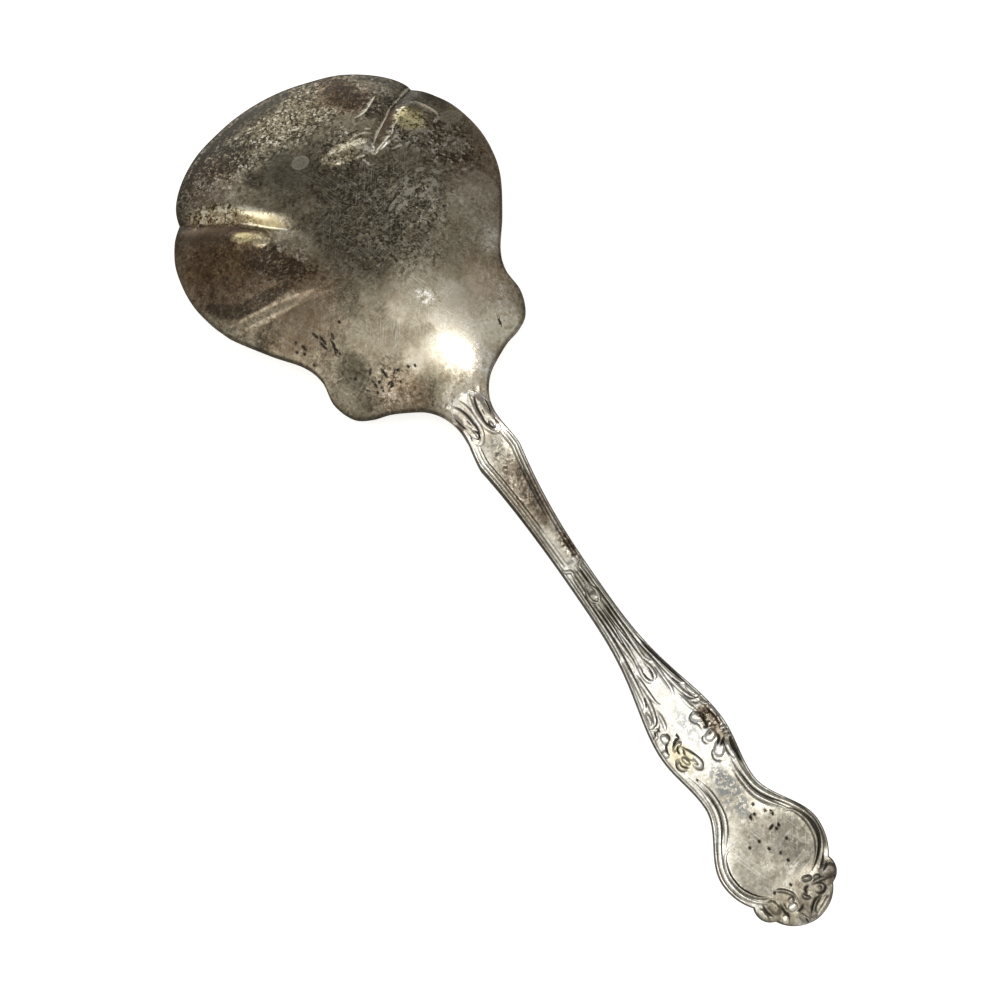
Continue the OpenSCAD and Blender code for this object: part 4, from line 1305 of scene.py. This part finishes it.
# Dark colour of the oxide in the hollows, and of the painted shade there and along the edges
OXIDE_AND_SHADE = (0.03, 0.025, 0.019)
SPECK = (0.05, 0.043, 0.03)
DULL_EDGE = (0.2, 0.19, 0.17)
WATER_MARK = (0.52, 0.49, 0.39)
WORN_GREY = (0.27, 0.275, 0.265)
SCRATCH_ANGLES = (35, -20, 75)
SCRATCH_STRETCH = (0.1, 3.6, 1)
GLINT_STRETCH = (1.5, 0.7, 1)

# Strengths of the clouds, patches and grains in the film, the last two with what speckle and clumps add
CLOUD_SHARE = 0.25
PATCH_SHARE = 0.12
PATCH_SPECKLE = 0.45
GRAIN_SHARE = 0.08
GRAIN_SPECKLE = 0.7
GRAIN_CLUMPS = 1.2

# Strengths of the marks in the colour, the roughness and the relief
GLINT_SHARE = 0.55
SCRATCH_SHARE = 0.5
SMEAR_BREAK = -0.5
SPECK_SHARE = 0.9
OXIDE_AND_SHADE_SHARE = 0.96
BARE_ROUGH = 0.15
FILM_ROUGH = 0.17
PATCH_ROUGH = 0.06
DARK_ROUGH = 0.2
PIT_RELIEF = 1.2
SPECK_RELIEF = 0.5
SCRATCH_RELIEF = 0.3
RELIEF_STRENGTH = 0.25
RELIEF_DEPTH = 0.06 * MM


def tarnish(n, patchy, clot):
    """Amount of film from 0 to 1: the painted amount with broad clouds, patches and grains in it."""
    grain, _ = n.cells(n.plan(), scale=2.6)
    grain = n.more(n.times(grain, 0.5), clot, share=0.5)
    clumps = n.between(n.noise(n.plan(turn=20), scale=0.5, rough=0.6), start=0.35, full=0.6)
    grain_share = n.more(GRAIN_SHARE, n.mark("speckle"), n.more(GRAIN_SPECKLE, clumps, GRAIN_CLUMPS))
    patch_share = n.more(PATCH_SHARE, n.mark("speckle"), PATCH_SPECKLE)
    film = n.sway(n.mark("film"), n.noise(n.plan(), scale=0.11), CLOUD_SHARE)
    film = n.sway(film, patchy, share=patch_share)
    return n.sway(film, grain, share=grain_share, clamp=True)


def scratches(n):
    """Fine scratches in a few directions, each in patches of its own."""
    made = 0.0
    for turn in SCRATCH_ANGLES:
        lines = n.between(n.noise(n.plan(SCRATCH_STRETCH, turn), scale=1, detail=2), start=0.56, full=0.68)
        here = n.between(n.noise(n.plan(turn=turn), scale=0.13, detail=1), start=0.47, full=0.6)
        made = n.math("MAXIMUM", made, n.times(lines, here))
    return n.times(made, n.mark("scratch"))


def silver_plate(name, grey_film):
    """Old silver plate: bright metal under a film of tarnish, specks, pits and scratches; its hollows are
    dark with oxide and painted shade, its edges with painted shade, and some patches of its film are painted
    light and shade.
    """
    material = bpy.data.materials.new(name)
    n = Nodes(material)
    plan = n.plan()
    patchy = n.noise(plan, scale=0.45, detail=4)
    clot, to_clot = n.cells(n.plan(turn=50), scale=1.3)
    film = tarnish(n, patchy, clot)
    brown = n.sway(n.mark("brown"), patchy, share=1, clamp=True)
    colour = n.blend(brown, n.ramp(film, grey_film), n.ramp(film, BROWN_FILM))
    colour = n.blend(1, colour, n.blend(n.mark("gold"), WHITE, GOLD_TINT), "MULTIPLY")
    grains = n.noise(n.plan(GLINT_STRETCH, turn=10), scale=1.3, detail=2, rough=0.6)
    glint = n.times(n.between(grains, start=0.54, full=0.68), n.mark("glint"))
    colour = n.blend(n.times(glint, GLINT_SHARE), colour, WATER_MARK)
    scratch = scratches(n)
    colour = n.blend(n.times(scratch, SCRATCH_SHARE), colour, SILVER)
    fine = n.between(n.noise(plan, scale=2.3, rough=0.7), start=0.36, full=0.64)
    smear = n.times(n.mark("pale"), n.more(1, fine, share=SMEAR_BREAK))
    colour = n.blend(smear, colour, WATER_MARK)
    ragged = n.between(n.noise(plan, scale=0.9, detail=4, rough=0.7), start=0.47, full=0.51)
    worn = n.times(n.mark("worn"), ragged)
    colour = n.blend(worn, colour, WORN_GREY)
    speck = n.times(n.between(to_clot, start=0.36, full=0.22), n.between(clot, start=0.62, full=0.66))
    speck = n.times(speck, n.mark("speckle"))
    colour = n.blend(n.times(speck, SPECK_SHARE), colour, SPECK)
    pit = n.times(n.mark("pit"), n.between(n.noise(plan, scale=2.6, detail=2), start=0.3, full=0.45))
    # Dark: the pits, and the oxide and painted shade of the hollows and edges
    dark = n.math("MAXIMUM", pit, n.times(n.mark("oxide_and_shade"), OXIDE_AND_SHADE_SHARE))
    rough = n.more(n.more(BARE_ROUGH, film, FILM_ROUGH), patchy, PATCH_ROUGH)
    relief = n.more(n.more(n.times(pit, PIT_RELIEF), speck, SPECK_RELIEF), scratch, SCRATCH_RELIEF)
    bumps = {"Height": n.times(relief, -1), "Strength": RELIEF_STRENGTH, "Distance": RELIEF_DEPTH}
    n.set(SHADER, {
        "Base Color": n.blend(dark, colour, OXIDE_AND_SHADE),
        "Roughness": n.more(rough, n.math("MAXIMUM", dark, worn), DARK_ROUGH),
        "Metallic": 1.0,
        "Specular Tint": n.blend(dark, WHITE, DULL_EDGE),
        "Normal": n.node("Bump", "Normal", bumps),
    })
    return material


SOLDER_DARK = (0.5, 0.49, 0.46)
SOLDER_PALE = (0.66, 0.65, 0.61)
SOLDER_ROUGH = 0.3
SOLDER_GRAIN = 0.2


def solder_metal(name):
    """Grey silver solder with a fine cast grain."""
    material = bpy.data.materials.new(name)
    n = Nodes(material)
    grain = n.noise(n.node("TexCoord", "Object", {}), scale=2500)
    n.set(SHADER, {
        "Base Color": n.blend(grain, SOLDER_DARK, SOLDER_PALE),
        "Roughness": n.more(SOLDER_ROUGH, grain, SOLDER_GRAIN),
        "Metallic": 1.0,
    })
    return material


in_bowl = np.arange(BACK_RINGS + EDGE_RINGS + FACE_RINGS)[:, None] >= BACK_RINGS + EDGE_RINGS
bowl = make_piece("bowl_fluted", bowl_rings(), in_bowl, bowl_marks, "bowl")
bowl.data.materials.append(silver_plate("tarnished_plate", GREY_FILM))
under_handle = np.arange(BACK_COLUMNS + FACE_COLUMNS) >= BACK_COLUMNS
handle = make_piece("handle_struck", handle_rings(), under_handle, handle_marks, "handle")
handle.data.materials.append(silver_plate("struck_plate", COOL_FILM))
seam = make_piece("solder_seam", seam_rings(), False, seam_marks, "solder_film")
seam.data.materials.append(solder_metal("solder_metal"))


# Stage, lights and camera, in metres

FLOOR_HALF = 40.0
FLOOR_DROP = 0.2 * MM
FLOOR_COLOUR = (0.92, 0.92, 0.92)
FLOOR_ROUGH = 0.9
FLOOR_GLOW = 0.6


def floor():
    """A plain white floor that glows a little for the eye and in reflections, and keeps its shadow."""
    mesh = bpy.data.meshes.new("floor")
    h = FLOOR_HALF
    mesh.from_pydata([(-h, -h, 0), (h, -h, 0), (h, h, 0), (-h, h, 0)], [], [(0, 1, 2, 3)])
    piece = bpy.data.objects.new("floor", mesh)
    piece.location.z = -FLOOR_DROP
    bpy.context.scene.collection.objects.link(piece)
    material = bpy.data.materials.new("white_floor")
    n = Nodes(material)
    rays = n.node("LightPath", "Is Camera Ray", {}).node.outputs
    seen = n.math("MAXIMUM", rays["Is Camera Ray"], rays["Is Glossy Ray"])
    seen = n.math("MAXIMUM", seen, rays["Is Transmission Ray"])
    n.set(SHADER, {
        "Base Color": FLOOR_COLOUR,
        "Roughness": FLOOR_ROUGH,
        "Emission Color": WHITE,
        "Emission Strength": n.times(seen, FLOOR_GLOW),
    })
    mesh.materials.append(material)


# Lamps, as (name, shape, direction from the object, distance, size, brightness as it is seen in the metal)
LAMPS = [
    ("key", "ELLIPSE", (0.16, 0.3, 0.94), 0.9, (0.18, 0.27), 3.8),
    ("overhead", "RECTANGLE", (-0.09, -0.22, 1), 1.05, (0.7, 1.14), 0.95),
    ("front", "RECTANGLE", (-1, 0.2, 0.28), 1.0, (0.6, 0.6), 0.5),
]
LAMP_AIM = (0, 0, 6 * MM)


def softbox(name, shape, direction, distance, size, level):
    """A lamp of an even brightness that faces the object."""
    lamp = bpy.data.lights.new(name, "AREA")
    lamp.shape = shape
    lamp.size, lamp.size_y = size
    lamp.energy = level * math.pi * size[0] * size[1]
    piece = bpy.data.objects.new(name, lamp)
    away = np.array(direction) / np.linalg.norm(direction)
    piece.location = np.array(LAMP_AIM) + away * distance
    piece.rotation_euler = Vector(away).to_track_quat("Z", "Y").to_euler()
    bpy.context.scene.collection.objects.link(piece)


ROOM_LOW = 0.12
ROOM_HIGH = 0.6
ROOM_BRIGHT_SIDE = (0.62, -0.45, 0.64)
ROOM_COLOUR = (1, 0.99, 0.97)


def world():
    """A pale room, brighter overhead and on one side than towards the tip of the bowl."""
    room = bpy.data.worlds.new("room")
    bpy.context.scene.world = room
    n = Nodes(room)
    toward = n.node("TexCoord", "Generated", {})
    facing = n.node("VectorMath", "Value", {0: toward, 1: ROOM_BRIGHT_SIDE}, operation="DOT_PRODUCT")
    range_of = {"Value": facing, "From Min": -1, "To Min": ROOM_LOW, "To Max": ROOM_HIGH}
    n.set("Background", {"Color": ROOM_COLOUR, "Strength": n.node("MapRange", "Result", range_of)})


CAMERA_AZIMUTH = 56.887
CAMERA_ELEVATION = 76.193
CAMERA_DISTANCE = 322 * MM
CAMERA_NEAR = 10 * MM
LOOK_AT = np.array([3.199, -5.817, 6.0]) * MM
LENS = 50.33


def camera():
    """The camera at the photograph's angle, height and framing."""
    a, e = math.radians(CAMERA_AZIMUTH), math.radians(CAMERA_ELEVATION)
    back = np.array([math.sin(a) * math.cos(e), -math.cos(a) * math.cos(e), math.sin(e)])
    data = bpy.data.cameras.new("camera")
    data.lens = LENS
    data.clip_start = CAMERA_NEAR
    piece = bpy.data.objects.new("camera", data)
    piece.location = LOOK_AT + CAMERA_DISTANCE * back
    piece.rotation_euler = Vector(-back).to_track_quat("-Z", "Y").to_euler()
    bpy.context.scene.collection.objects.link(piece)
    bpy.context.scene.camera = piece


floor()
world()
for lamp_values in LAMPS:
    softbox(*lamp_values)
camera()

bpy.context.scene.view_settings.view_transform = "Standard"
